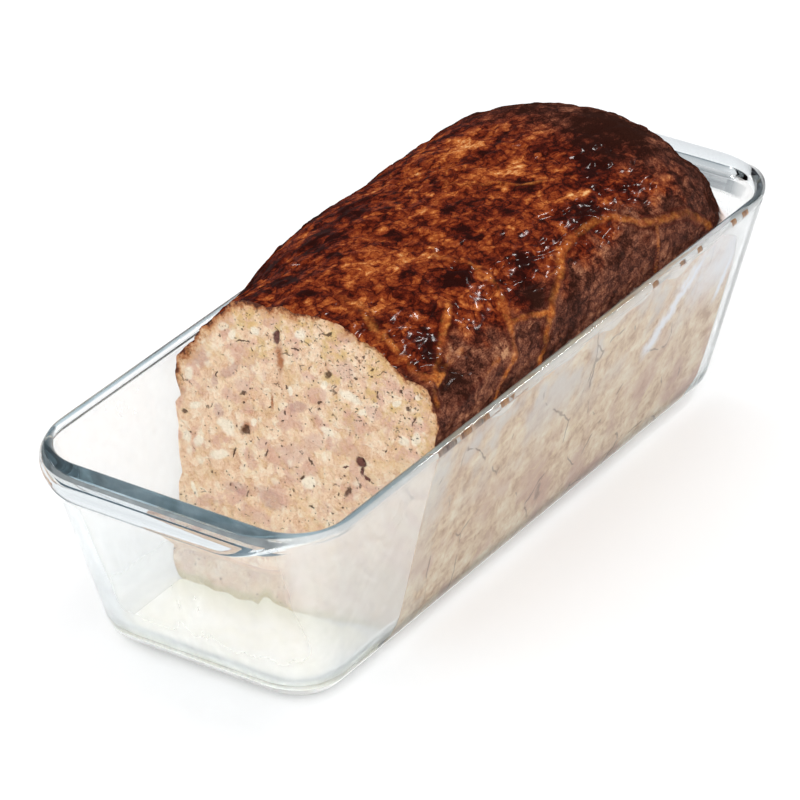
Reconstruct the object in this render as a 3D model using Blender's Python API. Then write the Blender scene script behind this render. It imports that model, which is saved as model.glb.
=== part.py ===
"""Country terrine in the pressed-glass loaf dish that it was baked in.

Frame: metres, +Z up, +Y along the dish.  The origin is the centre of the dish's flat foot, so the
part rests on z = 0.  The loaf is cut at its -Y end and fills the dish from there to the +Y end.
Two solids: the glass dish, with its two end handles, and the loaf of meat.
"""
import math
from dataclasses import dataclass

import bmesh
import bpy
from mathutils import Vector, noise

# --- Glass dish: driving dimensions -----------------------------------------------------------
DISH_HEIGHT = 0.0735
RIM_HALF_LENGTH = 0.1509       # top of the dish at its ends, without the handles
RIM_HALF_WIDTH = 0.0552
RIM_CORNER = 0.029
MOUTH_HALF_LENGTH = 0.1415     # inner edge of the rim
MOUTH_HALF_WIDTH = 0.0515
MOUTH_CORNER = 0.0168
FOOT_HALF_LENGTH = 0.129       # foot of the walls, where the fillet under the dish ends
FOOT_HALF_WIDTH = 0.0445
FOOT_CORNER = 0.0184
FOOT_FILLET = 0.011
GLASS_WALL = 0.0042            # wall thickness at the foot
GLASS_FLOOR = 0.005
CAVITY_CORNER = 0.0142
CAVITY_FILLET = 0.009
FILLET_TURN = math.radians(75)  # a fillet stops here, where it meets the sloping wall
FILLET_STEPS = 4
EDGE_ROUND = 0.0016            # depth of the rounding along the mouth
WALL_TOP_HALF_LENGTH = 0.1454  # outside of the wall, where the bead or a handle juts out of it
WALL_TOP_HALF_WIDTH = 0.0543
WALL_TOP_CORNER = 0.0208
WALL_TOP_BELOW_BEAD = 0.0012
BEAD_ROUND = 0.0009            # rounding of the bead's lower edge
RIM_ROUND = 0.0006             # and of its upper edge

BEAD_DEPTH = 0.003             # bead along the long sides
HANDLE_REACH = 0.0041          # the end handles stand out this much more than the bead
HANDLE_DROP = 0.0034           # and hang this much lower
REACH_TURN = math.radians(90)  # a handle's reach dies away over this much of each corner
DROP_TURN = math.radians(50)   # and its drop over this much

CORNER_STEPS = 8
END_STEPS = 6
SIDE_STEPS = 12

# --- Loaf: driving dimensions -----------------------------------------------------------------
CLEARANCE = 0.0004             # between the meat and the glass, where they touch
CUT_Y_AT_RIM = -0.072          # the cut face crosses the rim's height here
CUT_LEAN = 0.17                # and leans back by this much for each unit of height
FOOT_BULGE = 0.0035            # the cut's foot stands forward by this much, but for its right side
FOOT_BULGE_HEIGHT = 0.025      # from this height down
TOE_IN = 0.0045                # and on its right side the cut falls back by this much
TOE_IN_HEIGHT = 0.065          # from this height down
CROWN_HEIGHT = 0.104
CROWN_SAG = 0.0020             # the crown is this much lower towards the far end
SHOULDER_HEIGHT = 0.075        # the dome springs from the loaf's sides here
LEFT_SHOULDER_AT_CUT = 0.069
DOME_POWER_AT_CUT = 1.9        # nearly an ellipse at the cut, a squarer dome behind it
DOME_POWER = 2.35
SHOULDER_SWELL = 0.045         # the right shoulder is full at the cut, and hollow above
SWELL_START = 0.25             # share of the dome's rise over which that swelling sets in
LEFT_GAP_AT_CUT = 0.0046       # the loaf has shrunk from the left wall at the cut
LEFT_GAP_SHARE_AT_FLOOR = 0.4  # the gap on the left narrows to this share at the floor
SHRINK = 0.0012                # and from both walls near the rim, behind the cut
SHRINK_START = 0.065           # height where that shrinkage begins
FAR_GAP = 0.0035               # between the loaf's far end and the glass
# How far a spoke of the section points up, and the rounding of the far end there.
END_ROUNDING = ((-0.62, 0.014), (0.0, 0.017), (0.22, 0.022), (0.36, 0.040), (0.50, 0.053),
                (0.77, 0.056), (1.0, 0.043))
SETTLE_START = 0.015           # this far behind the cut, the loaf starts to take its full shape
SETTLE_LENGTH = 0.032          # and it has it after this length
SETTLE_LENGTH_LEFT = 0.055     # or after this length on its left side
SAG_LENGTH = 0.160             # and its crown sinks over this length
LUMP_HEIGHT = 0.0011
LUMP_SIZE = 0.024
SECTION_CENTRE = 0.052         # height that a section's spokes start from
SPOKE_LIMIT = 0.12             # no spoke is longer than this
SPOKE_HALVINGS = 30            # its end is found by halving this many times

SETTLING_PASSES = 3            # a point's place and the loaf's shape there depend on each other

LOAF_CUTS_X = 19
LOAF_CUTS_Y = 25
LOAF_CUTS_Z = 17
END_SHARE = 0.32               # share of the stations along the loaf that the far end takes
TOLERANCE = 1e-6


@dataclass
class Ring:
    """One level of the glass: a rounded rectangle, with what the end handles add to it."""

    half_length: float
    half_width: float
    corner: float
    height: float
    reach: float = 0.0
    drop: float = 0.0

    def points(self):
        """The ring's points, anticlockwise from the middle of the +X side."""
        straight_x = self.half_width - self.corner
        straight_y = self.half_length - self.corner
        quarter = [(self.half_width, straight_y * step / SIDE_STEPS * 2, 0.0)
                   for step in range(SIDE_STEPS // 2)]
        for step in range(CORNER_STEPS):
            turn = math.radians(90) * step / CORNER_STEPS
            to_end = math.radians(90) - turn
            x = straight_x + self.corner * math.cos(turn)
            y = straight_y + self.corner * math.sin(turn)
            reach = self.reach * smooth(1 - to_end / REACH_TURN)
            quarter.append((x, y + reach, self.drop * smooth(1 - to_end / DROP_TURN)))
        end_y = self.half_length + self.reach
        quarter += [(straight_x * (1 - step / END_STEPS * 2), end_y, self.drop)
                    for step in range(END_STEPS // 2)]
        middle = (0.0, end_y, self.drop)
        half = quarter + [middle] + [(-x, y, drop) for x, y, drop in reversed(quarter)]
        outline = half + [(-x, -y, drop) for x, y, drop in half[1:-1]]
        return [Vector((x, y, self.height - drop)) for x, y, drop in outline]


def smooth(t):
    """A smooth step from 0 to 1 as t goes from 0 to 1."""
    t = min(max(t, 0.0), 1.0)
    return t * t * (3 - 2 * t)


def mix(a, b, t):
    """The value a share t of the way from a to b."""
    return a + (b - a) * t


def fillet_rings(half_length, half_width, corner, fillet, floor):
    """Rings that turn from a flat floor up into a wall, from the floor outwards."""
    rings = []
    for step in range(FILLET_STEPS + 1):
        turn = FILLET_TURN * step / FILLET_STEPS
        inset = fillet * (1 - math.sin(turn))
        rings.append(Ring(half_length - inset, half_width - inset, corner - inset,
                          floor + fillet * (1 - math.cos(turn))))
    return rings


def dish_rings():
    """The whole profile of the glass, from under the foot, over the rim, to the inner floor."""
    outside = fillet_rings(FOOT_HALF_LENGTH, FOOT_HALF_WIDTH, FOOT_CORNER, FOOT_FILLET, 0.0)
    height = DISH_HEIGHT
    length, width, corner = RIM_HALF_LENGTH, RIM_HALF_WIDTH, RIM_CORNER
    reach, drop = HANDLE_REACH, HANDLE_DROP
    under = height - BEAD_DEPTH
    rim = [
        Ring(WALL_TOP_HALF_LENGTH, WALL_TOP_HALF_WIDTH, WALL_TOP_CORNER,
             under - WALL_TOP_BELOW_BEAD, 0.0, drop),
        Ring(length - 2 * BEAD_ROUND, width - BEAD_ROUND / 2, corner, under, reach - BEAD_ROUND, drop),
        Ring(length, width, corner, under + BEAD_ROUND, reach, drop),
        Ring(length, width, corner, height - 2 * RIM_ROUND, reach, drop - RIM_ROUND),
        Ring(length - RIM_ROUND / 3, width - RIM_ROUND / 3, corner - RIM_ROUND / 3,
             height - RIM_ROUND),
        Ring(length - RIM_ROUND, width - RIM_ROUND, corner - RIM_ROUND, height),
        Ring(MOUTH_HALF_LENGTH + EDGE_ROUND, MOUTH_HALF_WIDTH + EDGE_ROUND,
             MOUTH_CORNER + EDGE_ROUND, height),
        Ring(MOUTH_HALF_LENGTH + EDGE_ROUND / 3, MOUTH_HALF_WIDTH + EDGE_ROUND / 3,
             MOUTH_CORNER + EDGE_ROUND / 3, height - EDGE_ROUND / 3),
        Ring(MOUTH_HALF_LENGTH, MOUTH_HALF_WIDTH, MOUTH_CORNER, height - EDGE_ROUND),
    ]
    inside = fillet_rings(FOOT_HALF_LENGTH - GLASS_WALL, FOOT_HALF_WIDTH - GLASS_WALL,
                          CAVITY_CORNER, CAVITY_FILLET, GLASS_FLOOR)
    return outside + rim + inside[::-1]


def cavity_half_sizes(z, clearance=0.0):
    """Half length and half width of the space inside the glass at a height, less a clearance."""
    base_length = FOOT_HALF_LENGTH - GLASS_WALL - CAVITY_FILLET
    base_width = FOOT_HALF_WIDTH - GLASS_WALL - CAVITY_FILLET
    wall_foot = GLASS_FLOOR + CAVITY_FILLET * (1 - math.cos(FILLET_TURN))
    if z < wall_foot:
        below = GLASS_FLOOR + CAVITY_FILLET - z
        out = math.sqrt(max((CAVITY_FILLET - clearance) ** 2 - below ** 2, 0.0))
        return base_length + out, base_width + out
    out = CAVITY_FILLET * math.sin(FILLET_TURN)
    share = (z - wall_foot) / (DISH_HEIGHT - EDGE_ROUND - wall_foot)
    return (mix(base_length + out, MOUTH_HALF_LENGTH, share) - clearance,
            mix(base_width + out, MOUTH_HALF_WIDTH, share) - clearance)


def cut_y(x, z):
    """Where the leaning cut face lies, whose foot bulges but for the right side."""
    right = smooth(x / FOOT_HALF_WIDTH)
    bulge = FOOT_BULGE * smooth(1 - z / FOOT_BULGE_HEIGHT) * (1 - right)
    toe_in = TOE_IN * right * smooth(1 - z / TOE_IN_HEIGHT)
    return CUT_Y_AT_RIM + CUT_LEAN * (z - DISH_HEIGHT) - bulge + toe_in


def loaf_half_width(side, z, settled, crown):
    """Half width of the loaf at a height, on its left (-1) or right (+1) side.

    settled is 0 at the cut and 1 where the loaf has its full shape; crown is its height there.
    """
    shoulder = SHOULDER_HEIGHT
    swell = SHOULDER_SWELL * (1 - settled)
    gap = SHRINK * smooth((z - SHRINK_START) / (SHOULDER_HEIGHT - SHRINK_START)) * settled
    if side < 0:
        shoulder = mix(LEFT_SHOULDER_AT_CUT, SHOULDER_HEIGHT, settled)
        near_gap = LEFT_GAP_AT_CUT * mix(LEFT_GAP_SHARE_AT_FLOOR, 1.0, smooth(z / SHRINK_START))
        gap += near_gap * (1 - settled)
        swell = 0.0
    half_width = cavity_half_sizes(min(z, shoulder), CLEARANCE)[1] - gap
    if z <= shoulder:
        return half_width
    power = mix(DOME_POWER_AT_CUT, DOME_POWER, settled)
    rise = min((z - shoulder) / (crown - shoulder), 1.0)
    dome = (1 - rise ** power) ** (1 / power)
    return half_width * dome * (1 + swell * math.sin(math.tau * rise) * smooth(rise / SWELL_START))


def section_radius(direction_x, direction_z, settled, crown):
    """How far the loaf's outline lies from the section's centre, along a direction."""
    side = 1 if direction_x >= 0 else -1
    floor = GLASS_FLOOR + CLEARANCE
    near, far = 0.0, SPOKE_LIMIT
    for _ in range(SPOKE_HALVINGS):
        middle = (near + far) / 2
        z = SECTION_CENTRE + middle * direction_z
        inside = floor <= z <= crown
        if inside and abs(middle * direction_x) <= loaf_half_width(side, z, settled, crown):
            near = middle
        else:
            far = middle
    return near


def end_rounding(direction_z):
    """Radius that the far end is rounded with, under, beside or on top of the loaf."""
    for (low, radius), (high, next_radius) in zip(END_ROUNDING, END_ROUNDING[1:]):
        if direction_z <= high:
            return mix(radius, next_radius, max(direction_z - low, 0.0) / (high - low))
    return END_ROUNDING[-1][1]


def loaf_point(u, v, w):
    """Where a point of the unit block lies on the loaf.

    u and w run from -1 to 1 across and up the section, v from 0 at the cut to 1 at the far end.
    """
    spread = max(abs(u), abs(w))
    length = math.hypot(u, w)
    if length < TOLERANCE:
        direction_x, direction_z = 0.0, 1.0
    else:
        direction_x, direction_z = u / length, w / length
    rounding = end_rounding(direction_z)
    turn = math.radians(90) * max(v - (1 - END_SHARE), 0.0) / END_SHARE
    along = min(v / (1 - END_SHARE), 1.0)

    settled = 0.0
    point_y = CUT_Y_AT_RIM
    for _ in range(SETTLING_PASSES):
        crown = CROWN_HEIGHT - CROWN_SAG * smooth((point_y - CUT_Y_AT_RIM) / SAG_LENGTH)
        radius = section_radius(direction_x, direction_z, settled, crown)
        radius -= rounding * (1 - math.cos(turn))
        z = SECTION_CENTRE + spread * radius * direction_z
        end_y = cavity_half_sizes(min(z, SHOULDER_HEIGHT), CLEARANCE)[0] - FAR_GAP
        near_y = cut_y(spread * radius * direction_x, z)
        far_y = end_y - rounding
        point_y = mix(near_y, far_y, along) + rounding * math.sin(turn)
        settle_length = SETTLE_LENGTH_LEFT if u < 0 else SETTLE_LENGTH
        settled = smooth((point_y - near_y - SETTLE_START) / settle_length)
    point = Vector((spread * radius * direction_x, point_y, z))

    on_surface = spread > 1 - TOLERANCE
    if on_surface:
        free = smooth((z - SHRINK_START) / (SHOULDER_HEIGHT - SHRINK_START))
        lump = (noise.noise(point / LUMP_SIZE) - 0.5) * LUMP_HEIGHT * free
        point += Vector((direction_x, 0.0, direction_z)) * lump
    return point


def new_object(name, bm, material, collection):
    """Store a bmesh as a named object with one material."""
    mesh = bpy.data.meshes.new(name)
    bm.to_mesh(mesh)
    bm.free()
    mesh.materials.append(material)
    mesh.shade_smooth()
    mesh.set_sharp_from_angle(angle=math.radians(35))
    obj = bpy.data.objects.new(name, mesh)
    collection.objects.link(obj)
    return obj


def make_material(name, colour, roughness, transmission=0.0):
    """A plain Principled material."""
    material = bpy.data.materials.new(name)
    material.use_nodes = True
    shader = material.node_tree.nodes["Principled BSDF"]
    shader.inputs["Base Color"].default_value = (*colour, 1.0)
    shader.inputs["Roughness"].default_value = roughness
    shader.inputs["Metallic"].default_value = 0.0
    shader.inputs["Transmission Weight"].default_value = transmission
    return material


def make_dish(collection):
    """The glass dish: a loft through its rings, closed under the foot and on the inner floor."""
    bm = bmesh.new()
    loops = []
    for ring in dish_rings():
        verts = [bm.verts.new(point) for point in ring.points()]
        loops.append([bm.edges.new((verts[i - 1], verts[i])) for i in range(len(verts))])
    for lower, upper in zip(loops, loops[1:]):
        bmesh.ops.bridge_loops(bm, edges=lower + upper)
    for loop in (loops[0], loops[-1]):
        bmesh.ops.contextual_create(bm, geom=loop)
    bmesh.ops.recalc_face_normals(bm, faces=bm.faces)
    glass = make_material("clear_glass", (0.86, 0.91, 0.92), 0.05, transmission=0.9)
    return new_object("dish", bm, glass, collection)


def make_loaf(collection):
    """The loaf: a block cut into a grid along each axis, whose points move onto the loaf."""
    bm = bmesh.new()
    bmesh.ops.create_cube(bm, size=2.0)
    for axis, cuts in ((0, LOAF_CUTS_X), (1, LOAF_CUTS_Y), (2, LOAF_CUTS_Z)):
        across = [edge for edge in bm.edges
                  if abs(edge.verts[0].co[axis] - edge.verts[1].co[axis]) > TOLERANCE]
        bmesh.ops.subdivide_edges(bm, edges=across, cuts=cuts, use_grid_fill=True)
    for vert in bm.verts:
        u, v, w = vert.co
        vert.co = loaf_point(u, (v + 1) / 2, w)
    bmesh.ops.recalc_face_normals(bm, faces=bm.faces)
    meat = make_material("baked_meat", (0.33, 0.13, 0.06), 0.45)
    return new_object("terrine", bm, meat, collection)


def main():
    """Clear the scene and build the part."""
    for obj in list(bpy.data.objects):
        bpy.data.objects.remove(obj, do_unlink=True)
    collection = bpy.data.collections.new("country_terrine")
    bpy.context.scene.collection.children.link(collection)
    make_dish(collection)
    make_loaf(collection)


main()
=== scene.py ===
"""Country terrine, cut at one end, in the pressed-glass loaf dish that it was baked in: its looks.

Sizes are in metres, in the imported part's frame: +Z up, +Y along the dish, from the cut end to the
far end, and the origin under the middle of the foot.  The glass and the meat are remade here as
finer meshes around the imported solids, with a film of fat on the dish's floor and baked-on specks.
"""

import logging
import math
from collections.abc import Sequence
from dataclasses import dataclass
from enum import Enum, StrEnum

import bmesh
import bpy
import numpy as np
from mathutils import Matrix, Vector, noise


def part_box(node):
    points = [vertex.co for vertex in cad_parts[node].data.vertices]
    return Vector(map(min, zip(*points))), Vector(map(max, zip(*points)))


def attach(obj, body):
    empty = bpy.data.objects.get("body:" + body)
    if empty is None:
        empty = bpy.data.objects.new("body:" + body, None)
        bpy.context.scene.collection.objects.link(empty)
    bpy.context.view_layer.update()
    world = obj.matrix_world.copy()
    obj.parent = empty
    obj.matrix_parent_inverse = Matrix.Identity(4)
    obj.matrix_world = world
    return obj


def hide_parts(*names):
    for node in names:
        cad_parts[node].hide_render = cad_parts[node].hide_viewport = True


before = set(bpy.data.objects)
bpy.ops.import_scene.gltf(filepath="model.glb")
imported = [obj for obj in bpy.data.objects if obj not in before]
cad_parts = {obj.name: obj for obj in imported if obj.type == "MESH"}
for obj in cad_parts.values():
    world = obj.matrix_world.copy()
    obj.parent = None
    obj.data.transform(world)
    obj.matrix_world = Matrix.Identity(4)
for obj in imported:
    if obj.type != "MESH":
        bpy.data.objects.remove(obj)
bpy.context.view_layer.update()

LOG = logging.getLogger("terrine")
BODY = "root"
MM = 0.001
TINY = 1e-6
UNMOVED = (0.0, 0.0, 0.0)
# No point of the object has a coordinate beyond this.
FARTHEST = 0.2
STEPS_PER_LUMP = 6

Colour = tuple[float, float, float]
Stops = Sequence[tuple[float, Colour]]
Size = float | Sequence[float]
Field = np.ndarray
Socket = bpy.types.NodeSocket


class Slot(StrEnum):
    """The record's material slots."""

    GLASS = "glass"
    MEAT = "meat"


class Axis(Enum):
    """The coordinates, by number."""

    ACROSS = 0
    ALONG = 1
    UP = 2


class Feature(Enum):
    """What a texture of cells measures the distance to."""

    MIDDLE = "F1"
    EDGE = "DISTANCE_TO_EDGE"


def srgb(*levels: int) -> Colour:
    """The linear colour of a display colour.

    Args:
        *levels: Its red, green and blue, from 0 to 255.

    Returns:
        The same three, from 0 to 1.
    """
    shares = [level / 255 for level in levels]
    return tuple(share / 12.92 if share <= 0.04045 else ((share + 0.055) / 1.055) ** 2.4
                 for share in shares)


def smooth(share: Field | float) -> Field:
    """A smooth step from 0 to 1 as share goes from 0 to 1."""
    share = np.clip(share, 0.0, 1.0)
    return share * share * (3 - 2 * share)


def mix(start: Field | float, end: Field | float, share: Field | float) -> Field | float:
    """The value a share of the way from start to end."""
    return start + (end - start) * share


def noise_at(points: Field, size: Size, seed: float) -> Field:
    """Smooth noise from -1 to 1 at each point, with lumps of a size and its own seed."""
    scaled = points / np.asarray(size) + seed
    return np.array([noise.noise(Vector(place)) for place in scaled])


def uneven(place: Field, size: float, seed: float) -> Field:
    """Smooth noise from -1 to 1 along one coordinate.

    Args:
        place: The coordinate of each point.
        size: Size of the noise's lumps.
        seed: Shifts the noise.

    Returns:
        One value for each point.
    """
    steps = np.arange(-FARTHEST, FARTHEST, size / STEPS_PER_LUMP)
    heights = [noise.noise(Vector((step / size, seed, 0.0))) for step in steps]
    return np.interp(place, steps, heights)


# --- Shader building ----------------------------------------------------------------------------


class Signal:
    """A number in a node tree, on which arithmetic adds Math nodes."""

    def __init__(self, surface: "Surface", socket: Socket) -> None:
        """Wrap an output socket of the surface's tree."""
        self.surface = surface
        self.socket = socket

    def apply(self, operation: str, *others: "Signal | float") -> "Signal":
        """Add a Math node.

        Args:
            operation: The node's operation.
            *others: Its second and third values.

        Returns:
            The node's result.
        """
        values = dict(enumerate((self, *others)))
        node = self.surface.node("ShaderNodeMath", {"operation": operation}, values)
        return Signal(self.surface, node.outputs[0])

    def __add__(self, other: "Signal | float") -> "Signal":
        """Sum."""
        return self.apply("ADD", other)

    __radd__ = __add__

    def __mul__(self, other: "Signal | float") -> "Signal":
        """Product."""
        return self.apply("MULTIPLY", other)

    __rmul__ = __mul__

    def __sub__(self, other: "Signal | float") -> "Signal":
        """Difference."""
        return self.apply("SUBTRACT", other)

    def __rsub__(self, other: float) -> "Signal":
        """Difference from a plain number."""
        return self.apply("MULTIPLY", -1.0) + other

    def __abs__(self) -> "Signal":
        """Size without sign."""
        return self.apply("ABSOLUTE")

    def least(self, other: "Signal | float") -> "Signal":
        """The smaller of two."""
        return self.apply("MINIMUM", other)

    def most(self, other: "Signal | float") -> "Signal":
        """The larger of two."""
        return self.apply("MAXIMUM", other)

    def band(self, low: float, high: float) -> "Signal":
        """A smooth step.

        Args:
            low: Where it is 0.
            high: Where it is 1, which may lie below low.

        Returns:
            The step, from 0 to 1.
        """
        rising = low < high
        sockets = {"Value": self, "From Min": min(low, high), "From Max": max(low, high),
                   "To Min": float(not rising), "To Max": float(rising)}
        node = self.surface.node("ShaderNodeMapRange", {"interpolation_type": "SMOOTHSTEP"}, sockets)
        return Signal(self.surface, node.outputs[0])


Value = Signal | Socket | float | Sequence[float]
Coat = tuple[Value, Value]


class Tree:
    """A node tree that is built from nothing."""

    def __init__(self, tree: bpy.types.NodeTree) -> None:
        """Empty the tree."""
        self.tree = tree
        self.tree.nodes.clear()

    def node(self, kind: str, settings: dict[str, object] | None = None,
             sockets: dict[str | int, Value] | None = None) -> bpy.types.Node:
        """Add a node.

        Args:
            kind: The node's type.
            settings: Its properties; "stops" are a colour ramp's places and colours.
            sockets: Values or links of its inputs, by name or number.

        Returns:
            The node.
        """
        node = self.tree.nodes.new(kind)
        for name, setting in (settings or {}).items():
            if name == "stops":
                self.set_stops(node.color_ramp, setting)
            else:
                setattr(node, name, setting)
        for key, value in (sockets or {}).items():
            if isinstance(value, Signal):
                value = value.socket
            if isinstance(value, Socket):
                self.tree.links.new(value, node.inputs[key])
            elif node.inputs[key].type == "RGBA":
                node.inputs[key].default_value = (*value, 1.0)
            else:
                node.inputs[key].default_value = value
        return node

    @staticmethod
    def set_stops(ramp: bpy.types.ColorRamp, stops: Stops) -> None:
        """Give a colour ramp its stops.

        Args:
            ramp: The ramp, which starts with two.
            stops: The place and colour of each.
        """
        while len(ramp.elements) < len(stops):
            ramp.elements.new(0.5)
        for element, (place, colour) in zip(ramp.elements, stops):
            element.position = place
            element.color = (*colour, 1.0)

    def ramp(self, factor: Value, stops: Stops) -> Socket:
        """Colours along a number."""
        return self.node("ShaderNodeValToRGB", {"stops": stops}, {0: factor}).outputs[0]

    def blend(self, cover: Value, below: Socket, above: Socket) -> Socket:
        """Two shaders mixed."""
        return self.node("ShaderNodeMixShader", None, {0: cover, 1: below, 2: above}).outputs[0]


class Surface(Tree):
    """One material's node tree, and the few calls that the finishes are written in."""

    def __init__(self, name: str) -> None:
        """Start a material.

        Args:
            name: The material's name.
        """
        self.material = bpy.data.materials.new(name)
        self.material.use_nodes = True
        super().__init__(self.material.node_tree)
        self.position = self.node("ShaderNodeTexCoord").outputs["Object"]

    def scaled(self, size: Size, shift: Sequence[float] = UNMOVED, turn: Sequence[float] = UNMOVED,
               place: Socket | None = None) -> Socket:
        """Coordinates in which lumps of the given size are one unit across.

        Args:
            size: The size, for all axes or for each.
            shift: Added to the coordinates, so that each use has its own pattern.
            turn: Turn of the pattern, in degrees about each axis.
            place: Coordinates to start from, instead of the object's own.

        Returns:
            The coordinates.
        """
        turned = self.node("ShaderNodeMapping", {"vector_type": "TEXTURE"}, {
            "Vector": self.position if place is None else place,
            "Rotation": [math.radians(angle) for angle in turn],
            "Scale": (size,) * 3 if isinstance(size, float) else size})
        return self.node("ShaderNodeVectorMath", {"operation": "ADD"},
                         {0: turned.outputs[0], 1: shift}).outputs[0]

    def noise(self, size: Size, shift: float = 0.0, detail: float = 2.0, roughness: float = 0.5,
              distortion: float = 0.0, **where: Value) -> Signal:
        """Noise about 0.5.

        Args:
            size: Size of its lumps, for all axes or for each.
            shift: Shifts the pattern.
            detail: Octaves of finer noise.
            roughness: Strength of the finer octaves.
            distortion: How far the noise bends itself.
            **where: Turn and place, as scaled() takes them.

        Returns:
            The noise.
        """
        sockets = {"Vector": self.scaled(size, (shift, -shift, shift / 2), **where), "Scale": 1.0,
                   "Detail": detail, "Roughness": roughness, "Distortion": distortion}
        return Signal(self, self.node("ShaderNodeTexNoise", None, sockets).outputs[0])

    def honeycomb(self, feature: Feature, size: Size, shift: float, **where: Value) -> bpy.types.Node:
        """Add a texture of cells.

        Args:
            feature: What it measures the distance to.
            size: Size of a cell, for all axes or for each.
            shift: Shifts the pattern.
            **where: Turn and place, as scaled() takes them.

        Returns:
            The node.
        """
        vector = self.scaled(size, (shift, shift, -shift), **where)
        return self.node("ShaderNodeTexVoronoi", {"feature": feature.value},
                         {"Vector": vector, "Scale": 1.0})

    def cells(self, size: Size, shift: float = 0.0, **where: Value) -> tuple[Signal, Signal]:
        """Cells, as for honeycomb().

        Args:
            size: Size of a cell, for all axes or for each.
            shift: Shifts the pattern.
            **where: Turn and place, as scaled() takes them.

        Returns:
            The distance from a cell's middle, and a number that is random for each cell.
        """
        node = self.honeycomb(Feature.MIDDLE, size, shift, **where)
        parts = self.node("ShaderNodeSeparateColor", None, {0: node.outputs["Color"]})
        return Signal(self, node.outputs["Distance"]), Signal(self, parts.outputs[0])

    def seams(self, size: Size, shift: float = 0.0, **where: Value) -> Signal:
        """The distance from the seams between cells, which are laid out as for honeycomb()."""
        node = self.honeycomb(Feature.EDGE, size, shift, **where)
        return Signal(self, node.outputs["Distance"])

    def bent(self, size: float, reach: float, place: Socket | None = None) -> Socket:
        """Coordinates bent by noise.

        Args:
            size: Size of the bends.
            reach: How far they go.
            place: Coordinates to start from, instead of the object's own.

        Returns:
            The bent coordinates, in metres.
        """
        start = self.position if place is None else place
        wobble = self.node("ShaderNodeTexNoise", None, {
            "Vector": self.scaled(size, place=start), "Scale": 1.0, "Detail": 2.0})
        centred = self.node("ShaderNodeVectorMath", {"operation": "SUBTRACT"},
                            {0: wobble.outputs["Color"], 1: (0.5, 0.5, 0.5)})
        moved = self.node("ShaderNodeVectorMath", {"operation": "MULTIPLY_ADD"},
                          {0: centred.outputs[0], 1: (reach,) * 3, 2: start})
        return moved.outputs[0]

    def attribute(self, name: str) -> Signal:
        """A number stored on the mesh."""
        node = self.node("ShaderNodeAttribute", {"attribute_name": name})
        return Signal(self, node.outputs["Fac"])

    def axis(self, axis: Axis) -> Signal:
        """One of the object's own coordinates."""
        parts = self.node("ShaderNodeSeparateXYZ", None, {0: self.position})
        return Signal(self, parts.outputs[axis.value])

    def paint(self, base: Value, *coats: Coat) -> Socket:
        """Lay colours over one another.

        Args:
            base: The colour at the bottom.
            *coats: Each further colour, and how much of it shows, from 0 to 1.

        Returns:
            The colour that shows.
        """
        for colour, cover in coats:
            base = self.node("ShaderNodeMix", {"data_type": "RGBA"},
                             {0: cover, 6: base, 7: colour}).outputs[2]
        return base

    def bump(self, height: Signal, depth: float) -> Socket:
        """A normal bent as if the surface stood up by depth where height is 1."""
        sockets = {"Height": height, "Distance": depth, "Strength": 1.0}
        return self.node("ShaderNodeBump", None, sockets).outputs[0]

    def shader(self, **sockets: Value) -> Socket:
        """A Principled shader; underscores in names stand for spaces."""
        named = {name.replace("_", " "): value for name, value in sockets.items()}
        return self.node("ShaderNodeBsdfPrincipled", None, named).outputs[0]

    def finished(self, **shaders: Socket) -> bpy.types.Material:
        """The material, which shows the given Surface, and Volume if there is one."""
        self.node("ShaderNodeOutputMaterial", None, shaders)
        return self.material


# --- Finishes -----------------------------------------------------------------------------------


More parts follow.
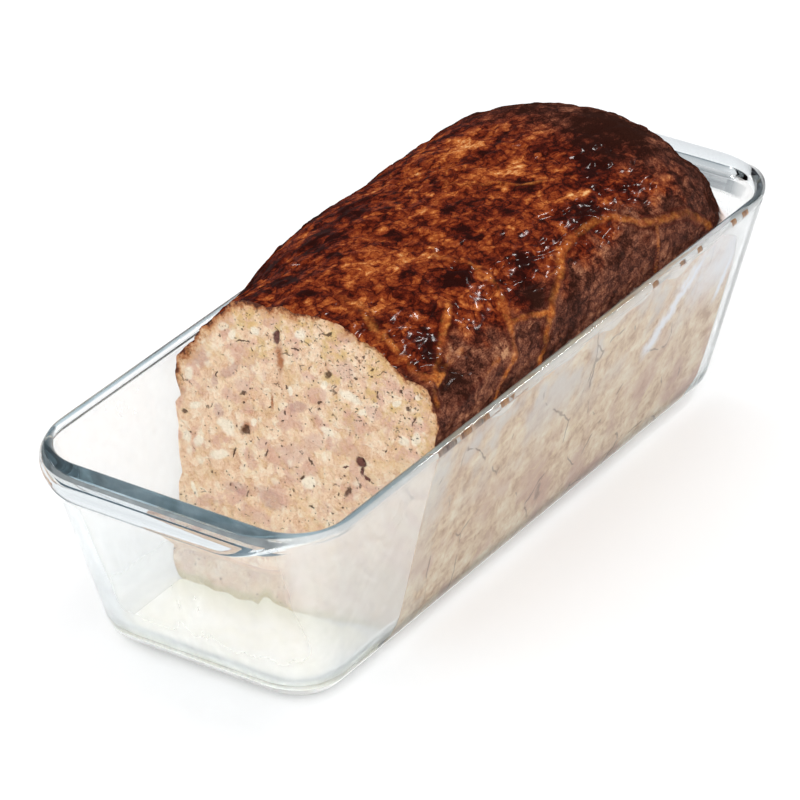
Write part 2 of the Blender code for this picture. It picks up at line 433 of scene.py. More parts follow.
@dataclass(frozen=True)
class PressedGlass:
    """Clear pressed glass with a faint cool tint, filmed inside with grease and a painted reflection veil.

    Seen through the rim's flat top the glass is deep, so that face has a tint of its own, partly
    the glass's depth and partly painted shade, darker in blotches and fading towards the far end.
    """

    tint: Colour = (0.985, 0.995, 1.0)
    # The rim top's tint: partly the glass's depth, partly painted shade, darker in blotches.
    top_tint_and_shade: Colour = (0.30, 0.44, 0.52)
    top_shade_deep: Colour = (0.14, 0.25, 0.31)
    top_shade_near_y: float = -0.10
    top_shade_far_y: float = 0.12
    top_shade_far_share: float = 0.2
    bending: float = 1.47
    roughness: float = 0.0
    ripple_size: float = 0.030
    ripple_depth: float = 0.00005
    depth_colour: Colour = (0.18, 0.42, 0.54)
    depth_density: float = 10.0
    haze_colour: Colour = srgb(253, 252, 249)
    haze_least: float = 0.12
    haze_most: float = 0.29
    haze_at_foot: float = 0.30
    foot_haze: tuple[float, float] = (0.022, 0.004)
    haze_on_right: float = 0.26
    right_haze: tuple[float, float] = (0.036, 0.042)

    def glass(self, surface: Surface) -> Socket:
        """Glass that lets the lamps' light straight through.

        Args:
            surface: The material's tree.

        Returns:
            The shader.
        """
        ripple = surface.noise(self.ripple_size, detail=0.0)
        # Painted shade on the rim's flat top: a darker tint, blotched, fading towards the far end.
        near = surface.axis(Axis.ALONG).band(self.top_shade_far_y, self.top_shade_near_y)
        near = near * (1.0 - self.top_shade_far_share) + self.top_shade_far_share
        deep = surface.noise(0.012, shift=9.0, detail=3.0).band(0.45, 0.7)
        top_tint_and_shade = surface.paint(self.top_tint_and_shade, (self.top_shade_deep, deep))
        tint = surface.paint(self.tint, (top_tint_and_shade, surface.attribute("top_face") * near))
        clear = surface.shader(
            Base_Color=tint, Roughness=self.roughness, IOR=self.bending,
            Transmission_Weight=1.0, Normal=surface.bump(ripple, self.ripple_depth))
        through = surface.node("ShaderNodeBsdfTransparent", None, {0: self.tint}).outputs[0]
        rays = surface.node("ShaderNodeLightPath").outputs["Is Shadow Ray"]
        return surface.blend(rays, clear, through)

    def material(self) -> bpy.types.Material:
        """The finish, whose film and shaded rim top lie where the mesh's numbers for them are 1.

        Returns:
            The material.
        """
        surface = Surface("pressed_glass")
        # The white film on the inner faces is grease and also a painted veil for the glass's white
        # reflections.
        smear = surface.noise((0.014, 0.03, 0.05), detail=4.0, roughness=0.6, distortion=0.6)
        wiped = surface.noise(0.006, shift=3.0, detail=3.0)
        cover = smear.band(0.3, 0.75) * 0.7 + wiped.band(0.35, 0.8) * 0.3
        cover = cover * (self.haze_most - self.haze_least) + self.haze_least
        cover = cover + surface.axis(Axis.UP).band(*self.foot_haze) * self.haze_at_foot
        cover = cover + surface.axis(Axis.ACROSS).band(*self.right_haze) * self.haze_on_right
        film = surface.node("ShaderNodeBsdfDiffuse", None, {0: self.haze_colour}).outputs[0]
        greasy = surface.attribute("greasy").band(0.4, 0.6)
        depth = surface.node("ShaderNodeVolumeAbsorption", None, {
            "Color": self.depth_colour, "Density": self.depth_density}).outputs[0]
        whole = surface.blend(cover * greasy, self.glass(surface), film)
        return surface.finished(Surface=whole, Volume=depth)


@dataclass(frozen=True)
class Spot:
    """A bit of fat, a chunk of meat or a hole on the cut face, in millimetres and degrees."""

    across: float
    height: float
    length: float
    width: float
    turn: float


def spots(*rows: tuple[float, float, float, float, float]) -> tuple[Spot, ...]:
    """Rows of numbers as spots."""
    return tuple(Spot(*row) for row in rows)


FAT_BITS = spots(
    (-26.0, 87.5, 1.4, 1.2, 75), (-37.0, 82.5, 1.8, 1.0, 20), (-29.5, 89.0, 1.7, 1.3, 35),
    (-17.5, 91.0, 1.7, 1.3, 35), (-41.0, 70.0, 2.1, 1.6, 80), (-37.5, 60.5, 2.5, 1.1, 20),
    (-15.0, 61.5, 1.2, 1.0, 65), (-1.0, 94.5, 2.1, 1.5, 30), (-2.5, 75.5, 1.2, 1.0, 55),
    (19.5, 79.5, 3.7, 1.5, -10), (24.5, 76.0, 1.5, 1.1, 30), (12.5, 66.0, 2.5, 1.4, -10),
    (44.0, 87.0, 1.3, 1.0, 75), (40.5, 71.0, 1.9, 1.4, 30), (44.5, 73.0, 2.4, 1.4, -90),
    (36.5, 82.5, 1.3, 0.9, 25), (9.5, 80.5, 1.7, 1.1, 25), (-25.0, 57.0, 3.5, 2.2, -30),
    (-26.5, 47.0, 3.5, 1.6, 25), (-35.0, 49.0, 1.9, 1.5, 45), (-39.5, 49.5, 1.9, 1.5, 75),
    (7.5, 47.5, 2.5, 2.0, 45), (-35.0, 32.5, 2.8, 0.8, -55))

MEAT_CHUNKS = spots(
    (-37.0, 76.5, 3.7, 2.9, 35), (-25.5, 75.5, 4.3, 1.7, 45), (-28.5, 61.5, 2.4, 2.0, 55),
    (-31.0, 70.5, 2.1, 1.3, 90), (1.0, 71.0, 3.8, 1.7, 20), (16.5, 99.0, 3.3, 1.9, 15),
    (-18.5, 37.5, 5.5, 2.1, 5), (-6.5, 38.0, 5.9, 3.1, -10))

PALE_CHUNKS = spots(
    (28.5, 77.0, 3.5, 1.8, -20), (1.0, 55.0, 5.7, 3.5, 25), (-11.5, 55.0, 2.5, 1.9, 30),
    (7.5, 61.0, 4.6, 2.8, 25), (17.0, 88.0, 3.0, 3.6, 0), (-20.5, 72.0, 3.0, 2.4, 20))

HOLES = spots(
    (-20.0, 69.5, 1.4, 0.35, 40), (-41.0, 57.5, 1.1, 0.6, -5), (10.5, 84.5, 1.6, 1.1, 60),
    (9.0, 97.5, 2.6, 0.3, 20), (-2.0, 89.5, 1.2, 0.35, -10), (24.5, 98.0, 2.7, 1.2, 10),
    (8.5, 74.5, 0.9, 0.6, 20), (9.0, 72.5, 0.8, 0.4, 20), (40.5, 82.0, 0.7, 0.6, 60),
    (43.5, 78.5, 1.2, 0.4, 75), (20.5, 86.0, 0.9, 0.4, 20), (29.5, 83.0, 1.2, 0.3, -85),
    (38.0, 87.0, 0.9, 0.5, -85), (-4.0, 76.0, 0.7, 0.5, 85), (-17.5, 57.5, 1.9, 1.4, 50),
    (-21.0, 49.0, 1.9, 0.4, 70), (-9.0, 52.5, 1.7, 0.35, 75), (5.0, 48.5, 1.2, 0.6, 50),
    (7.5, 54.5, 1.3, 0.4, -35), (9.5, 40.0, 1.1, 0.4, -10), (-22.0, 86.5, 2.8, 0.3, 20),
    (-18.5, 85.0, 1.0, 0.2, -45), (22.0, 48.5, 1.9, 1.0, 70), (-30.0, 73.0, 0.9, 0.3, -85))

BLOOD_CRACKS = spots(
    (-9.5, 91.5, 2.3, 1.1, -90), (26.0, 60.0, 1.8, 1.3, 0), (26.5, 57.0, 2.1, 0.6, -85),
    (28.5, 55.0, 1.3, 0.5, -20), (-41.5, 77.5, 1.0, 0.8, 55), (20.5, 56.5, 1.1, 0.3, 20))

BROWN_STREAKS = spots(
    (-7.5, 84.5, 5.0, 1.4, -85), (-9.0, 70.0, 3.0, 0.6, -90), (-17.5, 58.5, 2.6, 1.6, 60))


@dataclass(frozen=True)
class CutCrumb:
    """The cut face: coarse pink and beige meat, with fat, chunks, pores, cracks and herbs."""

    low: Colour = srgb(198, 148, 114)
    middle: Colour = srgb(228, 186, 152)
    high: Colour = srgb(243, 210, 178)
    pale: Colour = srgb(250, 230, 204)
    pink: Colour = srgb(214, 164, 148)
    straw: Colour = srgb(222, 186, 122)
    fat: Colour = srgb(252, 240, 218)
    chunk: Colour = srgb(190, 146, 138)
    pale_chunk: Colour = srgb(218, 180, 166)
    pore: Colour = srgb(78, 46, 26)
    blood: Colour = srgb(84, 24, 28)
    baked: Colour = srgb(216, 164, 108)
    browned: Colour = srgb(172, 104, 58)
    dark_edge: Colour = srgb(92, 42, 22)
    # Painted shade on the crumb towards the dish's floor.
    shade: Colour = srgb(186, 168, 148)
    # Damp meat at the foot of the cut face, also painted contact shade where it meets the dish.
    damp_and_shade: Colour = srgb(190, 176, 128)
    herb: Colour = srgb(66, 62, 32)
    relief: float = 0.0016

    @staticmethod
    def spread(surface: Surface, rows: Sequence[Spot], place: Socket) -> Signal:
        """How far each point lies from the nearest spot.

        Args:
            surface: The material's tree.
            rows: The spots.
            place: Coordinates, in metres.

        Returns:
            The distance, where 1 is a spot's own outline.
        """
        nearest = None
        for spot in rows:
            local = surface.node("ShaderNodeMapping", {"vector_type": "TEXTURE"}, {
                "Vector": place, "Location": (spot.across * MM, 0.0, spot.height * MM),
                "Rotation": (0.0, -math.radians(spot.turn), 0.0),
                "Scale": (spot.length * MM, 1000.0, spot.width * MM)})
            length = surface.node("ShaderNodeVectorMath", {"operation": "LENGTH"},
                                  {0: local.outputs[0]})
            distance = Signal(surface, length.outputs["Value"])
            nearest = distance if nearest is None else nearest.least(distance)
        return nearest

    def lumps(self, surface: Surface, bent: Socket, ragged: Socket, speckle: Signal,
              fat: Signal) -> list[Coat]:
        """The bits that are set in the mince.

        Args:
            surface: The material's tree.
            bent: Coordinates with soft bends.
            ragged: Coordinates with finer bends.
            speckle: Fine noise.
            fat: Where the fat lies.

        Returns:
            Their coats.
        """
        pale = self.spread(surface, PALE_CHUNKS, bent).band(1.35, 0.6)
        chunk = self.spread(surface, MEAT_CHUNKS, ragged).band(1.3, 0.6)
        fibre = surface.noise((0.0030, 0.004, 0.0007), shift=3.0, detail=3.0)
        streak = self.spread(surface, BROWN_STREAKS, ragged).band(1.6, 0.2)
        return [(self.pale_chunk, pale * 0.5), (self.chunk, chunk * (fibre * 0.6 + 0.25)),
                (self.fat, fat * (speckle * 0.4 + 0.65)),
                (self.browned, streak * (speckle * 0.3 + 0.75))]

    def pits(self, surface: Surface, ragged: Socket, loose: Signal, warm: Signal) -> Signal:
        """Holes, pores, flecks and cracks.

        Args:
            surface: The material's tree.
            ragged: Coordinates with fine bends.
            loose: Where the crumb is looser.
            warm: Where it is more baked.

        Returns:
            How deep and dark each place is, from 0 to 1.
        """
        seed, draw = surface.cells(0.0019, shift=7.0, place=ragged)
        pores = seed.band(0.26, 0.12) * (draw + loose * 0.9 + warm * 0.06).band(1.28, 1.34)
        specks, pick = surface.cells(0.0011, shift=11.0)
        flecks = specks.band(0.30, 0.12) * (pick + loose * 0.8 + warm * 0.14).band(1.24, 1.30)
        seam = surface.seams((0.0058, 0.0058, 0.0050), shift=5.0, place=ragged)
        split = (surface.noise(0.0045, shift=27.0, detail=2.0) + warm * 0.03).band(0.64, 0.70)
        crack = seam.band(0.035, 0.008) * split
        hole = self.spread(surface, HOLES, ragged).band(1.2, 0.6)
        return hole.most(pores).most(flecks * 0.6).most(crack * 0.75)

    def baked_edge(self, surface: Surface, across: Signal, up: Signal) -> list[Coat]:
        """The browning that runs in from the crust, deeper on the left.

        Args:
            surface: The material's tree.
            across: The coordinate across the loaf.
            up: The height.

        Returns:
            Its coats.
        """
        rough = surface.noise(0.0035, shift=25.0, detail=5.0, roughness=0.7)
        edge = surface.attribute("inside") + (rough - 0.5) * 0.012
        free = up.band(0.060, 0.072)
        deep = across.band(0.010, -0.020) * 0.0016
        return [(self.baked, (edge - deep).band(0.0050, 0.0008) * free * 0.6),
                (self.browned, (edge - deep).band(0.0018, -0.0004) * free * 0.9),
                (self.dark_edge, (edge - deep * 0.6).band(0.0004, -0.0012) * free)]

    def material(self) -> bpy.types.Material:
        """The finish.

        Returns:
            The material.
        """
        surface = Surface("cut_crumb")
        across, up = surface.axis(Axis.ACROSS), surface.axis(Axis.UP)
        bent = surface.bent(0.004, 0.0026)
        ragged = surface.bent(0.0012, 0.0016, bent)
        mince = surface.noise(0.0030, shift=1.0, detail=6.0, roughness=0.7, distortion=0.5)
        _, granule = surface.cells(0.0034, place=bent)
        patch = surface.noise(0.012, shift=5.0, detail=3.0)
        speckle = surface.noise(0.0007, shift=9.0, detail=3.0, roughness=0.7)
        tone = mince * 0.52 + granule * 0.13 + patch * 0.08 + speckle * 0.27
        colour = surface.ramp(tone, [
            (0.32, self.low), (0.41, self.middle), (0.50, self.high), (0.61, self.pale)])

        pinkness = surface.noise(0.0085, shift=13.0, detail=4.0, distortion=0.4).band(0.50, 0.60)
        warm = (up + across * 0.25 + (surface.noise(0.010, shift=19.0) - 0.5) * 0.03).band(0.070, 0.092)
        straw = surface.noise(0.0045, shift=17.0, detail=4.0, roughness=0.6).band(0.46, 0.66)
        small, chance = surface.cells(0.0042, shift=3.0, place=bent)
        bits = small.band(0.42, 0.10) * chance.band(0.76, 0.82)
        fat = self.spread(surface, FAT_BITS, bent).band(1.35, 0.75).most(bits * 0.7)
        loose = surface.noise(0.008, shift=21.0, detail=3.0)
        dark = self.pits(surface, ragged, loose, warm)
        blood = self.spread(surface, BLOOD_CRACKS, ragged).band(1.25, 0.7)
        sprig, chosen = surface.cells((0.0016, 0.0016, 0.0009), shift=15.0, place=ragged)
        herbs = sprig.band(0.36, 0.2) * (chosen + warm * loose).band(1.16, 1.22)
        colour = surface.paint(
            colour, (self.pink, pinkness * 0.55), (self.straw, straw * (warm * 0.5 + 0.3)),
            *self.lumps(surface, bent, ragged, speckle, fat),
            (self.pore, dark * 0.85), (self.blood, blood * 0.9), (self.herb, herbs * 0.8),
            # Painted shade darkens the crumb towards the floor.
            *self.baked_edge(surface, across, up), (self.shade, up.band(0.034, 0.020) * 0.4),
            # Damp meat at the foot, also painted contact shade.
            (self.damp_and_shade, (up + (loose - 0.5) * 0.004).band(0.0085, 0.0060) * 0.8))

        grain = surface.noise(0.0016, shift=31.0, detail=4.0, roughness=0.65)
        height = mince * 0.9 + grain * 0.9 + granule * 0.15 - dark * 0.8 - blood * 0.6
        rough = 0.62 - fat * 0.2 - surface.noise(0.005, shift=2.0).band(0.5, 0.7) * 0.16
        return surface.finished(Surface=surface.shader(
            Base_Color=colour, Roughness=rough, Normal=surface.bump(height, self.relief),
            Specular_IOR_Level=0.3))


@dataclass(frozen=True)
class HighlightStreak:
    """A painted highlight: a soft straight white streak down the glass's right side, seen from that side.

    It runs from its start towards +Y, and up by its lean in degrees.
    """

    start_y: float
    start_z: float
    length: float
    width: float
    lean: float
    weight: float
    whole_from_x: float = 0.02

    def cover(self, surface: Surface) -> Signal:
        """How much of it there is at a place.

        Args:
            surface: The tree of the finish that it lies on.

        Returns:
            The amount, from 0 to 1.
        """
        slope = math.radians(self.lean)
        back = surface.axis(Axis.ALONG) - self.start_y
        up = surface.axis(Axis.UP) - self.start_z
        along = back * math.cos(slope) + up * math.sin(slope)
        wander = (surface.noise(0.006, shift=40.0, detail=4.0, roughness=0.6) - 0.5) * self.width
        across = abs(up * math.cos(slope) - back * math.sin(slope) + wander)
        ends = along.band(-0.002, 0.006) * along.band(self.length + 0.002, self.length - 0.006)
        right = surface.axis(Axis.ACROSS).band(0.0, self.whole_from_x)
        return across.band(self.width * 0.5, 0.0) * ends * right * self.weight


# Painted highlights: white streaks of glare off the glass's right side, painted on the meat behind it.
SIDE_HIGHLIGHTS = (
    HighlightStreak(0.0600, 0.0410, 0.044, 0.0100, 35.6, 1.0),
    HighlightStreak(0.1080, 0.0400, 0.020, 0.0050, 62.4, 1.0))


@dataclass(frozen=True)
class LoafSkin:
    """The outside of the loaf: glossy browned crust above the glass, pale meat against it."""

    burnt: Colour = srgb(40, 9, 4)
    umber: Colour = srgb(78, 22, 9)
    mahogany: Colour = srgb(117, 44, 18)
    rust: Colour = srgb(150, 72, 32)
    amber: Colour = srgb(194, 112, 54)
    gold: Colour = srgb(232, 180, 122)
    soot: Colour = srgb(48, 25, 18)
    dull: Colour = srgb(86, 52, 41)
    clay: Colour = srgb(128, 84, 66)
    tan: Colour = srgb(176, 128, 98)
    net: Colour = srgb(172, 92, 40)
    net_light: Colour = srgb(214, 134, 66)

    side_low: Colour = srgb(194, 154, 120)
    side_middle: Colour = srgb(230, 204, 174)
    side_high: Colour = srgb(248, 234, 210)
    side_pink: Colour = srgb(206, 166, 150)
    side_fat: Colour = srgb(242, 224, 178)
    side_milk: Colour = srgb(224, 218, 214)
    side_cream: Colour = srgb(242, 236, 222)
    side_crack: Colour = srgb(132, 102, 84)
    # Painted highlight and glare seen on the glass's right side.
    side_highlight: Colour = srgb(250, 250, 255)
    side_scorch: Colour = srgb(176, 130, 96)
    side_lean: tuple[float, float, float] = (14.0, 0.0, 0.0)

    relief: float = 0.0034
    wetness: float = 0.25
    wet_roughness: float = 0.14

    def net_cords(self, surface: Surface) -> tuple[Signal, list[Coat]]:
        """The net of fat that is baked into the crust.

        Args:
            surface: The material's tree.

        Returns:
            Where its cords lie, and its coats.
        """
        strand = (surface.attribute("strand")
                  + (surface.noise(0.004, shift=12.0, detail=3.0) - 0.5) * 0.0026)
        cord = strand.band(0.0023, 0.0006)
        border = abs(strand - 0.0025).band(0.0012, 0.0) * 0.35
        thread = surface.noise((0.0016, 0.0022, 0.0016), shift=14.0, detail=3.0, roughness=0.65)
        shade = surface.ramp(thread, [(0.32, self.rust), (0.47, self.net), (0.62, self.net_light)])
        faded = surface.noise(0.010, shift=19.0, detail=2.0).band(0.34, 0.60) * 0.60 + 0.25
        faded = faded * (1.0 - surface.axis(Axis.ALONG).band(0.022, 0.060) * 0.45)
        return cord, [(self.umber, border), (shade, cord * faded)]

    def crust(self, surface: Surface) -> tuple[Socket, Signal, Signal]:
        """The browned crust.

        Args:
            surface: The material's tree.

        Returns:
            Its colour, its gloss from 0 to 1 and its fine relief from 0 to 1.
        """
        bent = surface.bent(0.009, 0.007)
        knotted = surface.bent(0.0035, 0.0040, surface.bent(0.012, 0.008))
        patch = surface.noise((0.009, 0.014, 0.009), shift=2.0, detail=2.0, place=bent)
        streak = surface.noise((0.0024, 0.0060, 0.0024), shift=4.0, detail=3.0, distortion=0.4,
                               place=bent)
        mottle = surface.noise(0.0036, shift=6.0, detail=5.0, roughness=0.65, distortion=0.4)
        grain = surface.noise((0.0004, 0.0007, 0.0004), shift=8.0, detail=2.0)
        lump_size = (0.0044, 0.0070, 0.0044)
        lump, lump_tone = surface.cells(lump_size, shift=9.0, place=knotted)
        crease = surface.seams(lump_size, shift=9.0, place=knotted)
        bead, bead_tone = surface.cells((0.0019, 0.0027, 0.0019), shift=3.0, place=knotted)
        blister = 1.0 - lump.least(0.8)
        pimple = 1.0 - bead.least(0.8)
        # The blister and pimple terms make it lighter towards the lumps' middles: painted light on the
        # relief.
        tone = ((patch - 0.5) * 0.7 + (streak - 0.5) * 0.8 + (mottle - 0.5) * 1.1
                + (grain - 0.5) * 0.4 + (lump_tone - 0.5) * 0.26 + (bead_tone - 0.5) * 0.16
                + (blister - 0.5) * 0.20 + (pimple - 0.5) * 0.22
                + surface.attribute("tone") * 0.85 + 0.40)
        loose = surface.noise(0.012, shift=15.0, detail=3.0) * 0.5 - 0.25
        far = (surface.axis(Axis.ALONG) + loose * 0.06).band(0.070, 0.106)
        left = surface.axis(Axis.ACROSS).band(-0.004, -0.030)
        # Darker in the creases between lumps: painted shade, also the darker juice pooled there.
        tone = tone * 0.92 + 0.04 - crease.band(0.10, 0.0) * 0.15 - far * 0.19 - left * 0.05
        glossy = surface.ramp(tone, [
            (0.04, self.burnt), (0.25, self.umber), (0.42, self.mahogany), (0.59, self.rust),
            (0.77, self.amber), (1.0, self.gold)])
        matt = surface.ramp(tone + (grain - 0.5) * 0.5 - 0.02, [
            (0.05, self.soot), (0.38, self.dull), (0.62, self.clay), (0.95, self.tan)])
        flank = (surface.attribute("turn") + loose).band(0.42, 0.60).most(far)
        cord, net = self.net_cords(surface)
        colour = surface.paint(glossy, (matt, flank * 0.85), *net)

        gloss = (1.0 - flank * 0.7) * (mottle.band(0.35, 0.6) * 0.2 + 0.8)
        tiny, _ = surface.cells(0.0011, shift=5.0, place=knotted)
        relief = blister * 0.30 + pimple * 0.18 + mottle * 0.34 + grain * 0.06 + cord * 0.06
        return colour, gloss, relief - tiny.least(0.8) * 0.07

    def side(self, surface: Surface) -> tuple[Socket, Signal]:
        """The meat against the glass.

        Args:
            surface: The material's tree.

        Returns:
            Its colour and its fine relief.
        """
        up, along = surface.axis(Axis.UP), surface.axis(Axis.ALONG)
        leaning = {"turn": self.side_lean}
        bent = {"turn": self.side_lean, "place": surface.bent(0.012, 0.008)}
        broad = surface.noise((0.012, 0.015, 0.010), shift=1.5, detail=4.0, roughness=0.6, **bent)
        smear = surface.noise((0.004, 0.007, 0.0035), shift=2.5, detail=4.0, roughness=0.6, **bent)
        fine = surface.noise(0.0018, shift=3.5, detail=3.0)
        blotch = surface.noise((0.005, 0.007, 0.005), shift=11.5, detail=4.0, roughness=0.6,
                               distortion=0.5, **leaning)
        tone = broad * 0.26 + smear * 0.12 + fine * 0.20 + blotch * 0.42
        colour = surface.ramp(tone, [
            (0.39, self.side_low), (0.5, self.side_middle), (0.62, self.side_high)])
        pink = surface.noise(0.018, shift=5.5, detail=2.0).band(0.45, 0.65)
        streaks = surface.noise((0.0016, 0.018, 0.0014), shift=6.5, detail=3.0, **bent)
        milk = surface.noise(0.016, shift=7.5, detail=3.0).band(0.40, 0.65)
        behind_cut = along - up * 0.10 + 0.079
        smeared = (behind_cut + (milk - 0.5) * 0.010 + (blotch - 0.5) * 0.03).band(0.0095, 0.0045)
        seam = surface.seams((0.03, 0.026, 0.03), shift=8.5, **bent)
        crack = seam.band(0.018, 0.003) * surface.noise(0.012, shift=9.5, detail=2.0).band(0.52, 0.60)
        # Painted glare: white over the upper far part of the side, seen through the glass.
        far_top_glare = (along + (broad - 0.5) * 0.05).band(0.070, 0.105) * up.band(0.040, 0.056)
        colour = surface.paint(
            colour, (self.side_pink, pink * (up.band(0.05, 0.012) * 0.55 + 0.25)),
            (self.side_fat, streaks.band(0.60, 0.72) * 0.35),
            (self.side_milk, milk * up.band(0.030, 0.062) * 0.75),
            (self.side_cream, smeared * 0.3), (self.side_crack, crack * 0.6),
            # Painted glare and highlights off the glass's right side.
            (self.side_highlight, far_top_glare * 0.7),
            *((self.side_highlight, glint.cover(surface)) for glint in SIDE_HIGHLIGHTS))
        return colour, smear * 0.5 + fine * 0.5 - crack * 0.5

    def material(self) -> bpy.types.Material:
        """The finish.

        Returns:
            The material.
        """
        surface = Surface("loaf_skin")
        crust, gloss, crust_relief = self.crust(surface)
        side, side_relief = self.side(surface)
        ragged = surface.noise(0.006, shift=18.0, detail=4.0, roughness=0.6) * 0.006 - 0.003
        line = surface.attribute("above_line") + ragged
        baked = line.band(-0.0008, 0.0008)
        scorched = line.band(-0.0030, 0.0) * (1.0 - baked)
        colour = surface.paint(side, (self.side_scorch, scorched * 0.6), (crust, baked))
        rough = 0.56 - gloss * baked * 0.26
        height = crust_relief * baked + side_relief * (1.0 - baked) * 0.12
        weight = surface.node("ShaderNodeLayerWeight", None, {"Blend": 0.5})
        facing = Signal(surface, weight.outputs["Facing"])
        wet = gloss * baked * facing.band(0.92, 0.45) * self.wetness
        return surface.finished(Surface=surface.shader(
            Base_Color=colour, Roughness=rough, Normal=surface.bump(height, self.relief),
            Coat_Weight=wet, Coat_Roughness=self.wet_roughness, Specular_IOR_Level=0.0))


@dataclass(frozen=True)
class PlainGrease:
    """A finish for fat films and baked-on specks: one colour, mottled, with a painted shadow beyond a Y.
    """

    name: str
    light: Colour
    dark: Colour
    size: float
    roughness: float
    relief: float = 0.0003
    painted_shadow: Colour = srgb(230, 228, 208)
    shadowed: tuple[float, float] = (1.0, 2.0)

    def material(self) -> bpy.types.Material:
        """The finish.

        Returns:
            The material.
        """
        surface = Surface(self.name)
        mottle = surface.noise(self.size, detail=3.0, roughness=0.6)
        # Painted shadow: a darker, yellower colour beyond a Y.
        shadowed = (surface.axis(Axis.ALONG) + (mottle - 0.5) * 0.004).band(*self.shadowed)
        colour = surface.paint(self.dark, (self.light, mottle.band(0.35, 0.6)), (self.painted_shadow, shadowed))
        return surface.finished(Surface=surface.shader(
            Base_Color=colour, Roughness=self.roughness, Normal=surface.bump(mottle, self.relief)))


# The fat film's painted shadow lies in front of the loaf's cut foot.
SET_FAT = PlainGrease("set_fat", srgb(252, 251, 245), srgb(247, 245, 234), 0.012, 0.45,
                      shadowed=(-0.1010, -0.0850))
BAKED_JUICE = PlainGrease("baked_juice", srgb(172, 120, 66), srgb(112, 66, 32), 0.0016, 0.4)


# --- Pieces -------------------------------------------------------------------------------------


def finished_mesh(bm: bmesh.types.BMesh, name: str) -> bpy.types.Mesh:
    """Turn a bmesh into a mesh, and free it.

    Args:
        bm: The shape.
        name: The mesh's name.

    Returns:
        The mesh.
    """
    mesh = bpy.data.meshes.new(name)
    bm.to_mesh(mesh)
    bm.free()
    return mesh


def add_piece(mesh: bpy.types.Mesh, materials: Sequence[bpy.types.Material]) -> bpy.types.Object:
    """Put a finished mesh in the scene.

    Args:
        mesh: The mesh, in place, whose name the piece takes.
        materials: Its finishes, in the order of the mesh's material numbers.

    Returns:
        The piece's object, which rides on the part's one body.
    """
    for material in materials:
        mesh.materials.append(material)
    piece = bpy.data.objects.new(mesh.name, mesh)
    bpy.context.scene.collection.objects.link(piece)
    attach(piece, BODY)
    LOG.info("%s: %d faces", piece.name, len(mesh.polygons))
    return piece


@dataclass(frozen=True)
class Ring:
    """One level of the glass: a rounded rectangle, with what the end handles add to it."""

    half_length: float
    half_width: float
    corner: float
    height: float
    reach: float = 0.0
    drop: float = 0.0


